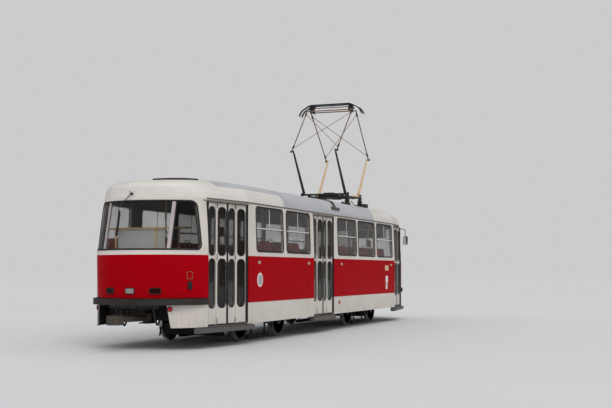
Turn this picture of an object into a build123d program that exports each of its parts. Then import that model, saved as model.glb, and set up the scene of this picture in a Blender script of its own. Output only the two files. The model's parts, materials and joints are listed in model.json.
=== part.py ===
from build123d import *
import math
import os

os.makedirs("parts", exist_ok=True)

# Frame: X forward, Y to the left, Z up, millimetres, origin under the middle of the car
# at the lowest point of the wheel flanges. The doors are on the right, at negative Y.

# Running gear
flange_depth = 22
wheel_radius = 350
wheel_back = 688
wheel_width = 95
axle_radius = 65
wheelbase = 1900
bogie_centre = 3200
axle_height = wheel_radius + flange_depth
shaft_gap = 0.5
seat_gap = 0.3

# Heights
skirt_bottom = 377
panel_bottom = 760
bumper_top = 867
belt_height = 1610
window_bottom = 1705
window_top = 2530
door_bottom = 400
door_top = 2540
gutter_height = 2600
roof_crest = 3050
floor_top = 922
floor_thickness = 40

# Body plan
body_half_width = 1250
gutter_half_width = 1220
side_end = 4820
taper_angle = 8.2
corner_radius = 900
belt_nose = 6960
belt_nose_radius = 1200
panel_nose = 6940
panel_nose_radius = 1150
gutter_nose = 6700
gutter_nose_radius = 1300
wall_thickness = 50
glass_depth = 15
glass_thickness = 6
pane_gap = 0.3
window_corner = 75
screen_corner = 90
screen_start = 6300
mullion_y = 620
mullion_width = 50
end_split = 6100

# Roof
roof_skin = 40
cove_radius = 350
crest_end = 3700
droop_radius = 26000
brow_lean = 6
brow_rise = 160
brow_radius = 140

# Doors
doorway_width = 1300
leaf_thickness = 30
leaf_depth = 53
leaf_rest_angle = 5
jamb_clearance = 21
pivot_gap = 6
pivot_post_radius = 12
hinge_gap = 4
hinge_proud = 4
hinge_radius = 5.3
hinge_strap = 30
door_seal_gap = 5
door_head_gap = 10
door_pane_width = 232
door_pane_corner = 95
lower_pane = (695, 1543)
upper_pane = (1610, 2452)
lower_tread = 390
upper_tread = 650
tread_thickness = 20

# Pantograph
pantograph_x = 3300
pantograph_foot = (520, 3282)
pantograph_knee = (1300, 4322)
pantograph_top = (150, 5492)
pantograph_half_width = 600


def block(x, y, z, mode=Mode.ADD):
    """Box between low and high limits on each axis."""
    with Locations(((x[0] + x[1]) / 2, (y[0] + y[1]) / 2, (z[0] + z[1]) / 2)):
        Box(x[1] - x[0], y[1] - y[0], z[1] - z[0], mode=mode)


def rod(start, end, radius):
    """Round bar between two points."""
    start, end = Vector(*start), Vector(*end)
    with BuildSketch(Plane(origin=start, z_dir=end - start)) as section:
        Circle(radius)
    extrude(section.sketch, amount=(end - start).length)


def cylinder_y(x, z, y, radius, mode=Mode.ADD):
    """Cylinder along Y between two Y values."""
    with BuildSketch(Plane(origin=(x, y[0], z), x_dir=(1, 0, 0), z_dir=(0, 1, 0))) as section:
        Circle(radius)
    extrude(section.sketch, amount=y[1] - y[0], mode=mode)


def outline(row, inset=0.0):
    """Body outline at one height: side, tapered side, corner arc and nose arc, mirrored all round."""
    height, half_width, taper_start, taper, corner, nose_x, nose = row
    turn = math.radians(taper)
    across = Vector(math.sin(turn), math.cos(turn))
    along = Vector(math.cos(turn), -math.sin(turn))
    start = Vector(taper_start - inset * math.tan(turn / 2), half_width - inset)
    nose_centre = Vector(nose_x - nose, 0)
    corner, nose = corner - inset, nose - inset
    base = start - across * corner - nose_centre
    reach = base.dot(along)
    root = math.sqrt(reach**2 - base.dot(base) + (nose - corner) ** 2)
    travel = math.copysign(root, nose - corner) - reach
    corner_centre = start - across * corner + along * travel
    taper_end = start + along * travel
    nose_start = nose_centre + (corner_centre - nose_centre) * (nose / (nose - corner))
    corner_middle = (taper_end + nose_start) * 0.5 - corner_centre
    nose_tip = Vector(nose_x - inset, 0)
    nose_middle = (nose_start + nose_tip) * 0.5 - nose_centre
    with BuildSketch(Plane.XY.offset(height)) as face:
        with BuildLine():
            Line((0, half_width - inset), start)
            Line(start, taper_end)
            ThreePointArc(taper_end, corner_centre + corner_middle.normalized() * corner, nose_start)
            ThreePointArc(nose_start, nose_centre + nose_middle.normalized() * nose, nose_tip)
            mirror(about=Plane.XZ)
            mirror(about=Plane.YZ)
        make_face()
    return face.sketch


def body_solid(rows, inset=0.0):
    """Straight loft through the outlines at several heights."""
    with BuildPart() as body:
        loft([outline(row, inset) for row in rows], ruled=True)
    return body.part


def ring(low, high, outer, inner, row):
    """Upright band that follows the body outline between two insets."""
    with BuildPart() as band:
        extrude(outline((low, *row[1:]), outer), amount=high - low)
        extrude(outline((low, *row[1:]), inner), amount=high - low, mode=Mode.SUBTRACT)
    return band.part


def finish(build, name):
    """Names a finished piece and writes it."""
    build.part.label = name
    export_step(build.part, f"parts/{name}.step")


# Body outlines: height, half width, taper start, taper angle, corner radius, nose x, nose radius
panel_row = (panel_bottom, body_half_width, side_end, taper_angle, corner_radius, panel_nose, panel_nose_radius)
belt_row = (belt_height, body_half_width, side_end, taper_angle, corner_radius, belt_nose, belt_nose_radius)
gutter_row = (
    gutter_height, gutter_half_width, side_end, taper_angle, corner_radius, gutter_nose, gutter_nose_radius
)
body_rows = [panel_row, belt_row, gutter_row]

outer_body = body_solid(body_rows)
with BuildPart() as body_shell:
    add(outer_body)
    add(body_solid(body_rows, wall_thickness), mode=Mode.SUBTRACT)
with BuildPart() as glass_skin:
    add(body_solid(body_rows, glass_depth))
    add(body_solid(body_rows, glass_depth + glass_thickness), mode=Mode.SUBTRACT)

# Side windows: rear edge, front edge
side_windows = [(-4457, -3127), (-2946, -1616), (200, 1558), (1711, 3060), (3241, 4618)]
left_windows = side_windows + [(-6040, -4900), (-1377, -77), (4900, 6040)]

# Doors: name, centre x, turn of the doorway, y of the lower and of the upper riser, half width of the step well
doors = [
    ("rear", -5480, -taper_angle, 680, 440, 720),
    ("middle", -727, 0, 870, 620, 670),
    ("front", 5480, taper_angle, 680, 440, 720),
]


def door_y(centre_x):
    """Where the body's right side lies at a doorway's centre."""
    return -(body_half_width - max(0, abs(centre_x) - side_end) * math.tan(math.radians(taper_angle)))


def doorway(centre_x, turn):
    """Frame of a doorway: x along it, y inwards, z up, on the outer face."""
    return Location((centre_x, door_y(centre_x), 0), (0, 0, turn))


def window_prisms(windows, side_y, depth, shrink, mode):
    """Rounded window openings through one side."""
    with BuildSketch(Plane.XZ.offset(-side_y)) as openings:
        for rear, front in windows:
            with Locations(((rear + front) / 2, (window_bottom + window_top) / 2)):
                RectangleRounded(
                    front - rear - 2 * shrink, window_top - window_bottom - 2 * shrink, window_corner - shrink
                )
    extrude(openings.sketch, amount=depth, both=True, mode=mode)


def screen_prism(shrink, mode):
    """Wrap-round windscreen opening of the front end, open past the nose."""
    length = 2 * (belt_nose + 100 - screen_start)
    with BuildSketch(Plane.XZ) as opening:
        with Locations((screen_start + length / 2, (window_bottom + window_top) / 2)):
            RectangleRounded(length - 2 * shrink, window_top - window_bottom - 2 * shrink, screen_corner - shrink)
    extrude(opening.sketch, amount=2 * body_half_width, both=True, mode=mode)


# Right wall: two panels between the doors and a header over each doorway
with BuildPart() as side_wall_right:
    add(body_shell.part)
    block(
        (-end_split, end_split), (-2 * body_half_width, 0), (panel_bottom, gutter_height), mode=Mode.INTERSECT
    )
    window_prisms(side_windows, -body_half_width, 200, 0, Mode.SUBTRACT)
    for name, centre_x, turn, low_riser, high_riser, well_half in doors:
        with Locations(doorway(centre_x, turn)):
            block(
                (-doorway_width / 2, doorway_width / 2), (-150, 150), (panel_bottom, door_top), mode=Mode.SUBTRACT
            )
            for side in (-1, 1):
                edge = side * (doorway_width / 2)
                block((edge - seat_gap, edge + seat_gap), (-150, 150), (door_top, gutter_height), Mode.SUBTRACT)
finish(side_wall_right, "side_wall_right")

# Left wall: the straight side and one panel on each tapered side
with BuildPart() as side_wall_left:
    add(body_shell.part)
    block(
        (-end_split, end_split), (0, 2 * body_half_width), (panel_bottom, gutter_height), mode=Mode.INTERSECT
    )
    window_prisms(left_windows, body_half_width - 120, 200, 0, Mode.SUBTRACT)
    for side in (-1, 1):
        seam = side * side_end
        block(
            (seam - seat_gap / 2, seam + seat_gap / 2),
            (0, 2 * body_half_width),
            (panel_bottom, gutter_height),
            mode=Mode.SUBTRACT,
        )
finish(side_wall_left, "side_wall_left")

# End shells: the nose with the windscreen opening, and the mullions put back in it
with BuildPart() as mullions:
    add(body_shell.part)
    with Locations((belt_nose - 300, mullion_y, 0), (belt_nose - 300, -mullion_y, 0)):
        block((-400, 500), (-mullion_width / 2, mullion_width / 2), (window_bottom - 20, window_top + 20), Mode.INTERSECT)

with BuildPart() as end_shell_front:
    add(body_shell.part)
    block(
        (end_split + seat_gap, belt_nose + 100),
        (-2 * body_half_width, 2 * body_half_width),
        (panel_bottom, gutter_height),
        mode=Mode.INTERSECT,
    )
    screen_prism(0, Mode.SUBTRACT)
    add(mullions.part)
    name, centre_x, turn, low_riser, high_riser, well_half = doors[2]
    with Locations(doorway(centre_x, turn)):
        block(
            (-doorway_width / 2, doorway_width / 2), (-150, 150), (panel_bottom, door_top), mode=Mode.SUBTRACT
        )
finish(end_shell_front, "end_shell_front")
with BuildPart() as end_shell_rear:
    add(mirror(end_shell_front.part, about=Plane.YZ))
finish(end_shell_rear, "end_shell_rear")

# Glass panes in the walls and in the ends
with BuildPart() as side_glass:
    window_prisms(side_windows, -body_half_width, 200, pane_gap, Mode.ADD)
    window_prisms(left_windows, body_half_width - 120, 200, pane_gap, Mode.ADD)
    add(glass_skin.part, mode=Mode.INTERSECT)
finish(side_glass, "side_glass")

with BuildPart() as front_glass:
    screen_prism(pane_gap, Mode.ADD)
    add(glass_skin.part, mode=Mode.INTERSECT)
    for side in (-1, 1):
        middle = side * mullion_y
        half = mullion_width / 2 + pane_gap
        block(
            (end_split, belt_nose + 100), (middle - half, middle + half), (window_bottom, window_top), Mode.SUBTRACT
        )
with BuildPart() as end_glass:
    add(front_glass.part)
    add(mirror(front_glass.part, about=Plane.YZ))
finish(end_glass, "end_glass")

# Roof: the cove rises from the gutter, and the crown droops to the brow over each end
crest_rise = roof_crest - gutter_height
cove_y = gutter_half_width - cove_radius
crown_radius = (cove_y**2 + crest_rise**2 - cove_radius**2) / (2 * (crest_rise - cove_radius))
cove_end = 90 - math.degrees(math.asin(cove_y / (crown_radius - cove_radius)))


def roof_nose(height):
    """How far forward the roof reaches: up the leaning brow, round its edge, then along the droop."""
    lean = math.radians(brow_lean)
    edge_height = gutter_height + brow_rise
    if height <= edge_height:
        return gutter_nose - (height - gutter_height) * math.tan(lean)
    droop_x = crest_end + math.sqrt(droop_radius**2 - (height - roof_crest + droop_radius) ** 2)
    edge_x = gutter_nose - brow_rise * math.tan(lean) - brow_radius * math.cos(lean)
    above = height - edge_height + brow_radius * math.sin(lean)
    if above < brow_radius:
        return min(droop_x, edge_x + math.sqrt(brow_radius**2 - above**2))
    return droop_x


# Cove levels: angle up the cove, taper start, taper angle, corner radius, nose radius
cove_levels = [
    (0, side_end, taper_angle, corner_radius, gutter_nose_radius),
    (15, side_end, 8.3, corner_radius, gutter_nose_radius),
    (30, side_end, 8.6, 870, 1280),
    (45, side_end, 9.2, 840, 1250),
    (60, side_end, 10.5, 800, 1200),
    (cove_end, 4800, 12, 740, 1000),
]
# Crown levels: depth below the crest, taper start, taper angle, corner radius, nose radius
crown_levels = [
    (60, 4500, 14, 950, 550),
    (30, 4200, 14, 700, 360),
    (10, 3950, 14, 420, 200),
]


def roof_rows(skin):
    """Roof outlines from the gutter up, each with the inset that keeps the skin's thickness."""
    rows = []
    for angle, taper_start, taper, corner, nose in cove_levels:
        lean = math.radians(angle)
        height = gutter_height + cove_radius * math.sin(lean)
        half_width = cove_y + cove_radius * math.cos(lean)
        row = (height - skin * math.sin(lean), half_width, taper_start, taper, corner, roof_nose(height), nose)
        rows.append((row, skin * math.cos(lean)))
    for depth, taper_start, taper, corner, nose in crown_levels:
        height = roof_crest - depth
        half_width = math.sqrt(crown_radius**2 - (crown_radius - depth) ** 2)
        lean = math.acos(half_width / crown_radius)
        row = (height - skin * math.sin(lean), half_width, taper_start, taper, corner, roof_nose(height), nose)
        rows.append((row, skin * math.cos(lean)))
    return rows


def roof_solid(skin):
    """Straight loft through the roof outlines."""
    with BuildPart() as roof:
        loft([outline(row, inset) for row, inset in roof_rows(skin)], ruled=True)
    return roof.part


gutter_lip = 16
gutter_depth = 14
with BuildPart() as gutter:
    add(ring(gutter_height, gutter_height + gutter_depth, -gutter_lip, roof_skin / 2, gutter_row))
    block(
        (-end_split, end_split),
        (-2 * body_half_width, 2 * body_half_width),
        (gutter_height, gutter_height + gutter_depth),
        mode=Mode.INTERSECT,
    )
with BuildPart() as roof_shell:
    add(roof_solid(0))
    add(roof_solid(roof_skin), mode=Mode.SUBTRACT)
    add(gutter.part)
finish(roof_shell, "roof_shell")

roof_clearance = roof_solid(-seat_gap)
body_clearance = body_solid(body_rows, -seat_gap)

# Low hood along the crest at the rear
hood_height = 35
with BuildPart() as roof_hood:
    add(roof_solid(-hood_height))
    block((-5800, -4850), (-220, 220), (gutter_height + 100, roof_crest + 100), Mode.INTERSECT)
    add(roof_clearance, mode=Mode.SUBTRACT)
finish(roof_hood, "roof_hood")

# Floor and underframe share the step wells and the seams beside them
centre_seam = 440
side_gap = wall_thickness + seat_gap
floor_bottom = floor_top - floor_thickness


def cut_wells(low, high):
    """Takes out the step wells and splits the panels along straight seams."""
    for name, centre_x, turn, low_riser, high_riser, well_half in doors:
        block(
            (centre_x - well_half, centre_x + well_half),
            (-2 * body_half_width, -high_riser),
            (low, high),
            Mode.SUBTRACT,
        )
        for edge in (centre_x - well_half, centre_x + well_half):
            block((edge - seat_gap, edge), (-2 * body_half_width, -centre_seam), (low, high), Mode.SUBTRACT)
    block((-belt_nose, belt_nose), (-centre_seam - seat_gap, -centre_seam), (low, high), Mode.SUBTRACT)


with BuildPart() as floor:
    extrude(outline((floor_bottom, *panel_row[1:]), side_gap), amount=floor_thickness)
    cut_wells(floor_bottom, floor_top)
finish(floor, "floor")

sill_width = 70
beam_width = 80
cross_members = (-6230, -4700, -3550, -2850, -1480, 20, 1500, 2850, 3550, 4700, 6230)
with BuildPart() as underframe:
    add(ring(panel_bottom, floor_bottom, side_gap, side_gap + sill_width, panel_row))
    for beam_y in (-320, 320):
        block(
            (-6600, 6600), (beam_y - beam_width / 2, beam_y + beam_width / 2), (panel_bottom, floor_bottom)
        )
    for beam_x in cross_members:
        block(
            (beam_x - beam_width / 2, beam_x + beam_width / 2), (-1150, 1150), (panel_bottom, floor_bottom)
        )
    add(body_solid([(panel_bottom, *panel_row[1:]), (floor_bottom, *panel_row[1:])], side_gap), mode=Mode.INTERSECT)
    cut_wells(panel_bottom, floor_bottom)
finish(underframe, "underframe")

# Bolsters over the bogies, each with the bore for its bogie's pivot
bolster_bottom = 655
pivot_radius = 70
with BuildPart() as bolsters:
    for side in (-1, 1):
        with BuildSketch(Plane.YZ.offset(side * bogie_centre)):
            Polygon(
                (-1000, panel_bottom), (-450, bolster_bottom), (450, bolster_bottom), (1000, panel_bottom), align=None
            )
        extrude(amount=180, both=True)
        with Locations((side * bogie_centre, 0, panel_bottom)):
            Hole(pivot_radius + shaft_gap)
finish(bolsters, "bolsters")

# Step wells: bent treads and risers, and a cheek at each end
well_rows = [(skirt_bottom - 20, *panel_row[1:]), (floor_top, *panel_row[1:])]
with BuildPart() as well_space:
    for name, centre_x, turn, low_riser, high_riser, well_half in doors:
        with Locations(doorway(centre_x, turn)):
            block(
                (-doorway_width / 2 + seat_gap, doorway_width / 2 - seat_gap),
                (-wall_thickness, 4 * wall_thickness),
                (skirt_bottom - 20, floor_top),
            )
    add(body_solid(well_rows, wall_thickness / 2), mode=Mode.INTERSECT)
    add(body_solid(well_rows, side_gap))
with BuildPart() as door_steps:
    for name, centre_x, turn, low_riser, high_riser, well_half in doors:
        with BuildSketch(Plane.YZ.offset(centre_x)):
            Polygon(
                (-body_half_width, lower_tread),
                (-low_riser, lower_tread),
                (-low_riser, upper_tread),
                (-high_riser - tread_thickness, upper_tread),
                (-high_riser - tread_thickness, floor_top),
                (-high_riser - seat_gap, floor_top),
                (-high_riser - seat_gap, upper_tread - tread_thickness),
                (-low_riser + tread_thickness, upper_tread - tread_thickness),
                (-low_riser + tread_thickness, lower_tread - tread_thickness),
                (-body_half_width, lower_tread - tread_thickness),
                align=None,
            )
        extrude(amount=well_half - tread_thickness - seat_gap, both=True)
        for side in (-1, 1):
            cheek = centre_x + side * (well_half - tread_thickness / 2)
            block(
                (cheek - tread_thickness / 2 + seat_gap, cheek + tread_thickness / 2 - seat_gap),
                (-body_half_width, -high_riser - seat_gap),
                (lower_tread - tread_thickness, floor_top),
            )
    add(well_space.part, mode=Mode.INTERSECT)
finish(door_steps, "door_steps")

# Sills under the doorways, proud of the side: length past the rear and the front jamb, in the doors' order
sill_overhangs = [(290, 180), (60, 60), (180, 290)]
sill_bottom = 272
sill_top = 360
sill_proud = 30
with BuildPart() as door_sills:
    for (name, centre_x, turn, low_riser, high_riser, well_half), overhangs in zip(doors, sill_overhangs):
        lean = math.radians(turn)
        across = Plane(
            origin=(centre_x, door_y(centre_x), 0),
            x_dir=(-math.sin(lean), math.cos(lean), 0),
            z_dir=(math.cos(lean), math.sin(lean), 0),
        )
        with BuildSketch(across) as section:
            Polygon(
                (-sill_proud, sill_bottom + 20),
                (-sill_proud, sill_top),
                (30, sill_top),
                (30, lower_tread - tread_thickness - seat_gap),
                (90, lower_tread - tread_thickness - seat_gap),
                (90, sill_bottom),
                (-sill_proud + 20, sill_bottom),
                align=None,
            )
            fillet(section.vertices().group_by(Axis.X)[0], 8)
        extrude(section.sketch, amount=doorway_width / 2 + overhangs[1])
        extrude(section.sketch, amount=-doorway_width / 2 - overhangs[0])
finish(door_sills, "door_sills")

# Skirts: long side panels, and end panels round the corners with a slanted edge at the coupler
skirt_depth = 30
coupler_gap_right = -600
coupler_gap_left = 860
skirt_slant = 60
with BuildPart() as skirts:
    add(ring(skirt_bottom, panel_bottom - seat_gap, 4, 4 + skirt_depth, panel_row))
    for name, centre_x, turn, low_riser, high_riser, well_half in doors:
        with Locations(doorway(centre_x, turn)):
            block(
                (-doorway_width / 2, doorway_width / 2), (-200, 200), (skirt_bottom, panel_bottom), Mode.SUBTRACT
            )
    with BuildSketch(Plane.YZ) as coupler_gap:
        Polygon(
            (coupler_gap_right - skirt_slant, skirt_bottom),
            (coupler_gap_right, panel_bottom),
            (coupler_gap_left, panel_bottom),
            (coupler_gap_left + skirt_slant, skirt_bottom),
            align=None,
        )
    extrude(coupler_gap.sketch, amount=2 * belt_nose, both=True, mode=Mode.SUBTRACT)
    for seam_x in (-6240, -end_split, -side_end, side_end, end_split, 6240):
        block(
            (seam_x - seat_gap / 2, seam_x + seat_gap / 2),
            (-2 * body_half_width, 2 * body_half_width),
            (skirt_bottom, panel_bottom),
            mode=Mode.SUBTRACT,
        )
finish(skirts, "skirts")

# Bumpers: a deep band round each end, fitted over the lower edge of the shell
bumper_nose = 7060
bumper_nose_radius = 1200
bumper_row = (
    panel_bottom, body_half_width + 25, side_end, taper_angle, corner_radius + 30, bumper_nose, bumper_nose_radius
)
bumper_start = 6170
with BuildPart() as front_bumper:
    extrude(outline(bumper_row), amount=bumper_top - panel_bottom)
    block(
        (bumper_start, bumper_nose), (-2 * body_half_width, 2 * body_half_width), (panel_bottom, bumper_top),
        Mode.INTERSECT,
    )
    add(body_clearance, mode=Mode.SUBTRACT)
with BuildPart() as bumpers:
    add(front_bumper.part)
    add(mirror(front_bumper.part, about=Plane.YZ))
finish(bumpers, "bumpers")

# Door leaves: each half of a doorway has an outer leaf on the jamb and an inner leaf hinged to it
hinge_depth = leaf_thickness / 2 + hinge_proud
rest_lean = math.radians(leaf_rest_angle)
half_reach = doorway_width / 2 - jamb_clearance - door_seal_gap / 2
fold_depth = 2 * hinge_depth + leaf_thickness / 2
leaf_width = ((half_reach - fold_depth * math.sin(rest_lean)) / math.cos(rest_lean) - pivot_gap - 2 * hinge_gap) / 2


def door_leaf(start, low_face):
    """Leaf lying along x from its axis, with its two panes."""
    with BuildPart() as leaf:
        block((start, start + leaf_width), (low_face, low_face + leaf_thickness), (door_bottom, door_top - door_head_gap))
        for low, high in (lower_pane, upper_pane):
            middle = (start + leaf_width / 2, (low + high) / 2)
            with BuildSketch(Plane.XZ.offset(-low_face - leaf_thickness)) as hole:
                with Locations(middle):
                    RectangleRounded(door_pane_width, high - low, door_pane_corner)
            extrude(hole.sketch, amount=leaf_thickness, mode=Mode.SUBTRACT)
        for low, high in (lower_pane, upper_pane):
            middle = (start + leaf_width / 2, (low + high) / 2)
            with BuildSketch(Plane.XZ.offset(-low_face - (leaf_thickness + glass_thickness) / 2)) as pane:
                with Locations(middle):
                    RectangleRounded(
                        door_pane_width - 2 * pane_gap, high - low - 2 * pane_gap, door_pane_corner - pane_gap
                    )
            extrude(pane.sketch, amount=glass_thickness)
    return leaf.part


hinge_x = pivot_gap + leaf_width + hinge_gap
pivot_x = doorway_width / 2 - jamb_clearance
inner_leaf = door_leaf(hinge_gap, hinge_proud)
with BuildPart() as pivoted_leaf:
    add(door_leaf(pivot_gap, -leaf_thickness / 2))
    with Locations((0, 0, lower_tread + seat_gap)):
        Cylinder(
            pivot_post_radius, door_top - lower_tread - 2 * seat_gap, align=(Align.CENTER, Align.CENTER, Align.MIN)
        )
    with Locations((hinge_x, -hinge_depth, door_bottom)):
        Cylinder(hinge_radius, door_top - door_head_gap - door_bottom, align=(Align.CENTER, Align.CENTER, Align.MIN))
    block((hinge_x - hinge_strap, hinge_x), (-hinge_depth, -leaf_thickness / 2), (door_bottom, door_top - door_head_gap))
outer_leaf = pivoted_leaf.part
leaves = {1: (outer_leaf, inner_leaf), -1: (mirror(outer_leaf, about=Plane.YZ), mirror(inner_leaf, about=Plane.YZ))}
for name, centre_x, turn, low_riser, high_riser, well_half in doors:
    for half, sign in (("rear", 1), ("front", -1)):
        jamb = Location((-sign * pivot_x, leaf_depth, 0), (0, 0, sign * leaf_rest_angle))
        fold = jamb * Location((sign * hinge_x, -hinge_depth, 0), (0, 0, -2 * sign * leaf_rest_angle))
        for leaf_name, leaf, place in zip(("outer", "inner"), leaves[sign], (jamb, fold)):
            with BuildPart() as door:
                add(leaf.moved(doorway(centre_x, turn) * place))
            finish(door, f"{name}_door_{half}_{leaf_name}_leaf")

# Bogies: a frame with swan-necked sides, two motors with their gearboxes, and two rail brakes
bogie_side_y = 520
bogie_side_width = 80
motor_y = 240
pivot_top = 715
bogie_beam_bottom = 540
motor_radius = bogie_beam_bottom - axle_height - seat_gap
gearbox_radius = 180
rail_brake_y = 720
guard_x = 1345


def bogie_frame(centre_x):
    """Frame of one bogie with its centre beam, its pivot and the guard board ahead of its outer wheels."""
    outer = math.copysign(1, centre_x)
    with BuildPart() as frame:
        guard = sorted((centre_x + outer * guard_x, centre_x + outer * (guard_x + 25)))
        block(guard, (-620, 620), (130, 345))
        arm = sorted((centre_x + outer * 1060, centre_x + outer * guard_x))
        for side in (-1, 1):
            block(arm, sorted((side * bogie_side_y, side * (bogie_side_y + 30))), (305, 345))
        with BuildSketch(Plane.XZ) as side_profile:
            with BuildLine():
                Polyline(
                    (-1070, 305), (-1070, 440), (-780, 440), (-600, 540), (600, 540), (780, 440),
                    (1070, 440), (1070, 305), (810, 305), (640, 420), (-640, 420), (-810, 305), close=True,
                )
            make_face()
            fillet(side_profile.vertices(), 25)
        with Locations((centre_x, -bogie_side_y, 0), (centre_x, bogie_side_y, 0)):
            add(extrude(side_profile.sketch, amount=bogie_side_width / 2, both=True, mode=Mode.PRIVATE))
        block((centre_x - 170, centre_x + 170), (-bogie_side_y, bogie_side_y), (bogie_beam_bottom, 635))
        for end in (-700, 700):
            block((centre_x + end - 40, centre_x + end + 40), (-bogie_side_y, bogie_side_y), (455, 515))
        with Locations((centre_x, 0, 635)):
            Cylinder(pivot_radius + 90, 650 - 635, align=(Align.CENTER, Align.CENTER, Align.MIN))
            Cylinder(pivot_radius, pivot_top - 635, align=(Align.CENTER, Align.CENTER, Align.MIN))
        for end in (-wheelbase / 2, wheelbase / 2):
            for side in (-1, 1):
                near = side * bogie_side_y
                cylinder_y(centre_x + end, axle_height, (near - 60, near + 60), 115)
            cylinder_y(centre_x + end, axle_height, (-700, 700), axle_radius + shaft_gap, Mode.SUBTRACT)
    return frame


def bogie_drive(centre_x):
    """Two motors lying along the bogie, each with the gearbox round its axle."""
    with BuildPart() as drive:
        for side in (-1, 1):
            axle_x = centre_x + side * wheelbase / 2
            motor_start = axle_x - side * 1180
            motor_end = axle_x - side * 420
            rod((motor_start, side * motor_y, axle_height), (motor_end, side * motor_y, axle_height), motor_radius)
            rod((motor_end, side * motor_y, axle_height), (axle_x - side * 100, side * motor_y, axle_height), 60)
            cylinder_y(axle_x, axle_height, (side * motor_y - 95, side * motor_y + 95), gearbox_radius)
        for side in (-1, 1):
            axle_x = centre_x + side * wheelbase / 2
            cylinder_y(axle_x, axle_height, (-600, 600), axle_radius + shaft_gap, Mode.SUBTRACT)
    return drive


def rail_brakes(centre_x):
    """Brake shoes between the wheels over each rail, on brackets from the frame."""
    with BuildPart() as brakes:
        for side in (-1, 1):
            near = side * rail_brake_y
            with BuildSketch(Plane.XZ.offset(-near)) as shoe:
                with Locations((centre_x, 68)):
                    Rectangle(1080, 68)
                chamfer(shoe.vertices(), 18)
            extrude(shoe.sketch, amount=35, both=True)
            inner = bogie_side_y + bogie_side_width / 2 + seat_gap
            for end in (-330, 330):
                ends = sorted((side * inner, side * (rail_brake_y + 20)))
                posts = sorted((near, side * (rail_brake_y + 20)))
                block((centre_x + end - 25, centre_x + end + 25), ends, (430, 470))
                block((centre_x + end - 25, centre_x + end + 25), posts, (90, 440))
    return brakes


def wheelset(axle_x):
    """Axle with its two flanged wheels, turned about the axle line."""
    back, front = wheel_back, wheel_back + wheel_width
    flange_radius = wheel_radius + flange_depth
    with BuildPart() as wheels:
        with BuildSketch(Plane.XY.offset(axle_height)) as half:
            with Locations((axle_x, 0)):
                Polygon(
                    (0, 0), (axle_radius, 0), (axle_radius, back - 30), (120, back - 25), (120, back + 10),
                    (270, back + 35), (290, back), (flange_radius - 6, back), (flange_radius, back + 8),
                    (flange_radius, back + 16), (wheel_radius + 4, back + 30), (wheel_radius, back + 36),
                    (wheel_radius - 3, front), (300, front), (285, front - 30), (130, front - 20),
                    (120, front + 10), (0, front + 10),
                    align=None,
                )
            mirror(about=Plane.XZ)
        revolve(half.sketch, axis=Axis((axle_x, 0, axle_height), (0, 1, 0)))
    return wheels


for end_name, side in (("rear", -1), ("front", 1)):
    centre_x = side * bogie_centre
    finish(bogie_frame(centre_x), f"bogie_frame_{end_name}")
    finish(bogie_drive(centre_x), f"bogie_drive_{end_name}")
    finish(rail_brakes(centre_x), f"rail_brakes_{end_name}")
    for axle_name, offset_x in (("outer", side * wheelbase / 2), ("inner", -side * wheelbase / 2)):
        finish(wheelset(centre_x + offset_x), f"wheelset_{end_name}_{axle_name}")

# Couplers: a bracket under each end holds the pin that the drawbar swings on
coupler_x = 6350
coupler_height = 525
coupler_pin_radius = 25
coupler_head_x = 7552
coupler_bore = 20
with BuildPart() as coupler_brackets:
    for side in (-1, 1):
        for low in (coupler_height - 95, coupler_height + 75):
            with Locations((side * coupler_x, 0, low)):
                Box(220, 200, 20, align=(Align.CENTER, Align.CENTER, Align.MIN))
        back = sorted((side * (coupler_x - 110), side * (coupler_x - 140)))
        block(back, (-120, 120), (coupler_height - 95, panel_bottom))
        with Locations((side * coupler_x, 0, coupler_height - 95)):
            Cylinder(coupler_pin_radius, 190, align=(Align.CENTER, Align.CENTER, Align.MIN))
finish(coupler_brackets, "coupler_brackets")

with BuildPart() as front_coupler:
    with Locations((coupler_x, 0, coupler_height)):
        Cylinder(75, 140)
    with BuildSketch(Plane.YZ.offset(coupler_x + 40)):
        with Locations((0, coupler_height)):
            RectangleRounded(110, 100, 15)
    with BuildSketch(Plane.YZ.offset(coupler_head_x - 270)):
        with Locations((0, coupler_height)):
            RectangleRounded(90, 80, 15)
    loft(ruled=True)
    with BuildSketch(Plane.XY.offset(coupler_height)) as head_plan:
        Polygon(
            (coupler_head_x - 280, -60), (coupler_head_x - 220, -110), (coupler_head_x - 40, -110),
            (coupler_head_x - 40, -30), (coupler_head_x, -10), (coupler_head_x, 40),
            (coupler_head_x - 50, 110), (coupler_head_x - 220, 110), (coupler_head_x - 280, 60),
            align=None,
        )
        fillet(head_plan.vertices(), 12)
    extrude(head_plan.sketch, amount=75, both=True)
    with Locations((coupler_x, 0, coupler_height)):
        Cylinder(coupler_pin_radius + shaft_gap, 200, mode=Mode.SUBTRACT)
    with Locations((coupler_head_x - 120, 0, coupler_height)):
        Cylinder(coupler_bore, 200, mode=Mode.SUBTRACT)
finish(front_coupler, "coupler_front")
with BuildPart() as rear_coupler:
    add(mirror(front_coupler.part, about=Plane.YZ))
finish(rear_coupler, "coupler_rear")

# Boxes under the floor: rear, front, right and left edges, bottom
underfloor_boxes = [
    (-6050, -5150, -400, 950, 470),
    (5150, 6050, -400, 950, 470),
    (-1650, -500, 420, 1130, 410),
    (-440, 640, 420, 1130, 450),
    (700, 1650, 420, 1130, 410),
    (60, 880, -1130, -460, 420),
    (940, 1650, -1130, -460, 460),
]
with BuildPart() as underfloor_equipment:
    for rear, front, right, left, bottom in underfloor_boxes:
        block((rear, front), (right, left), (bottom, panel_bottom))
    fillet(underfloor_equipment.edges().filter_by(Axis.Z), 30)
finish(underfloor_equipment, "underfloor_equipment")

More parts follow.
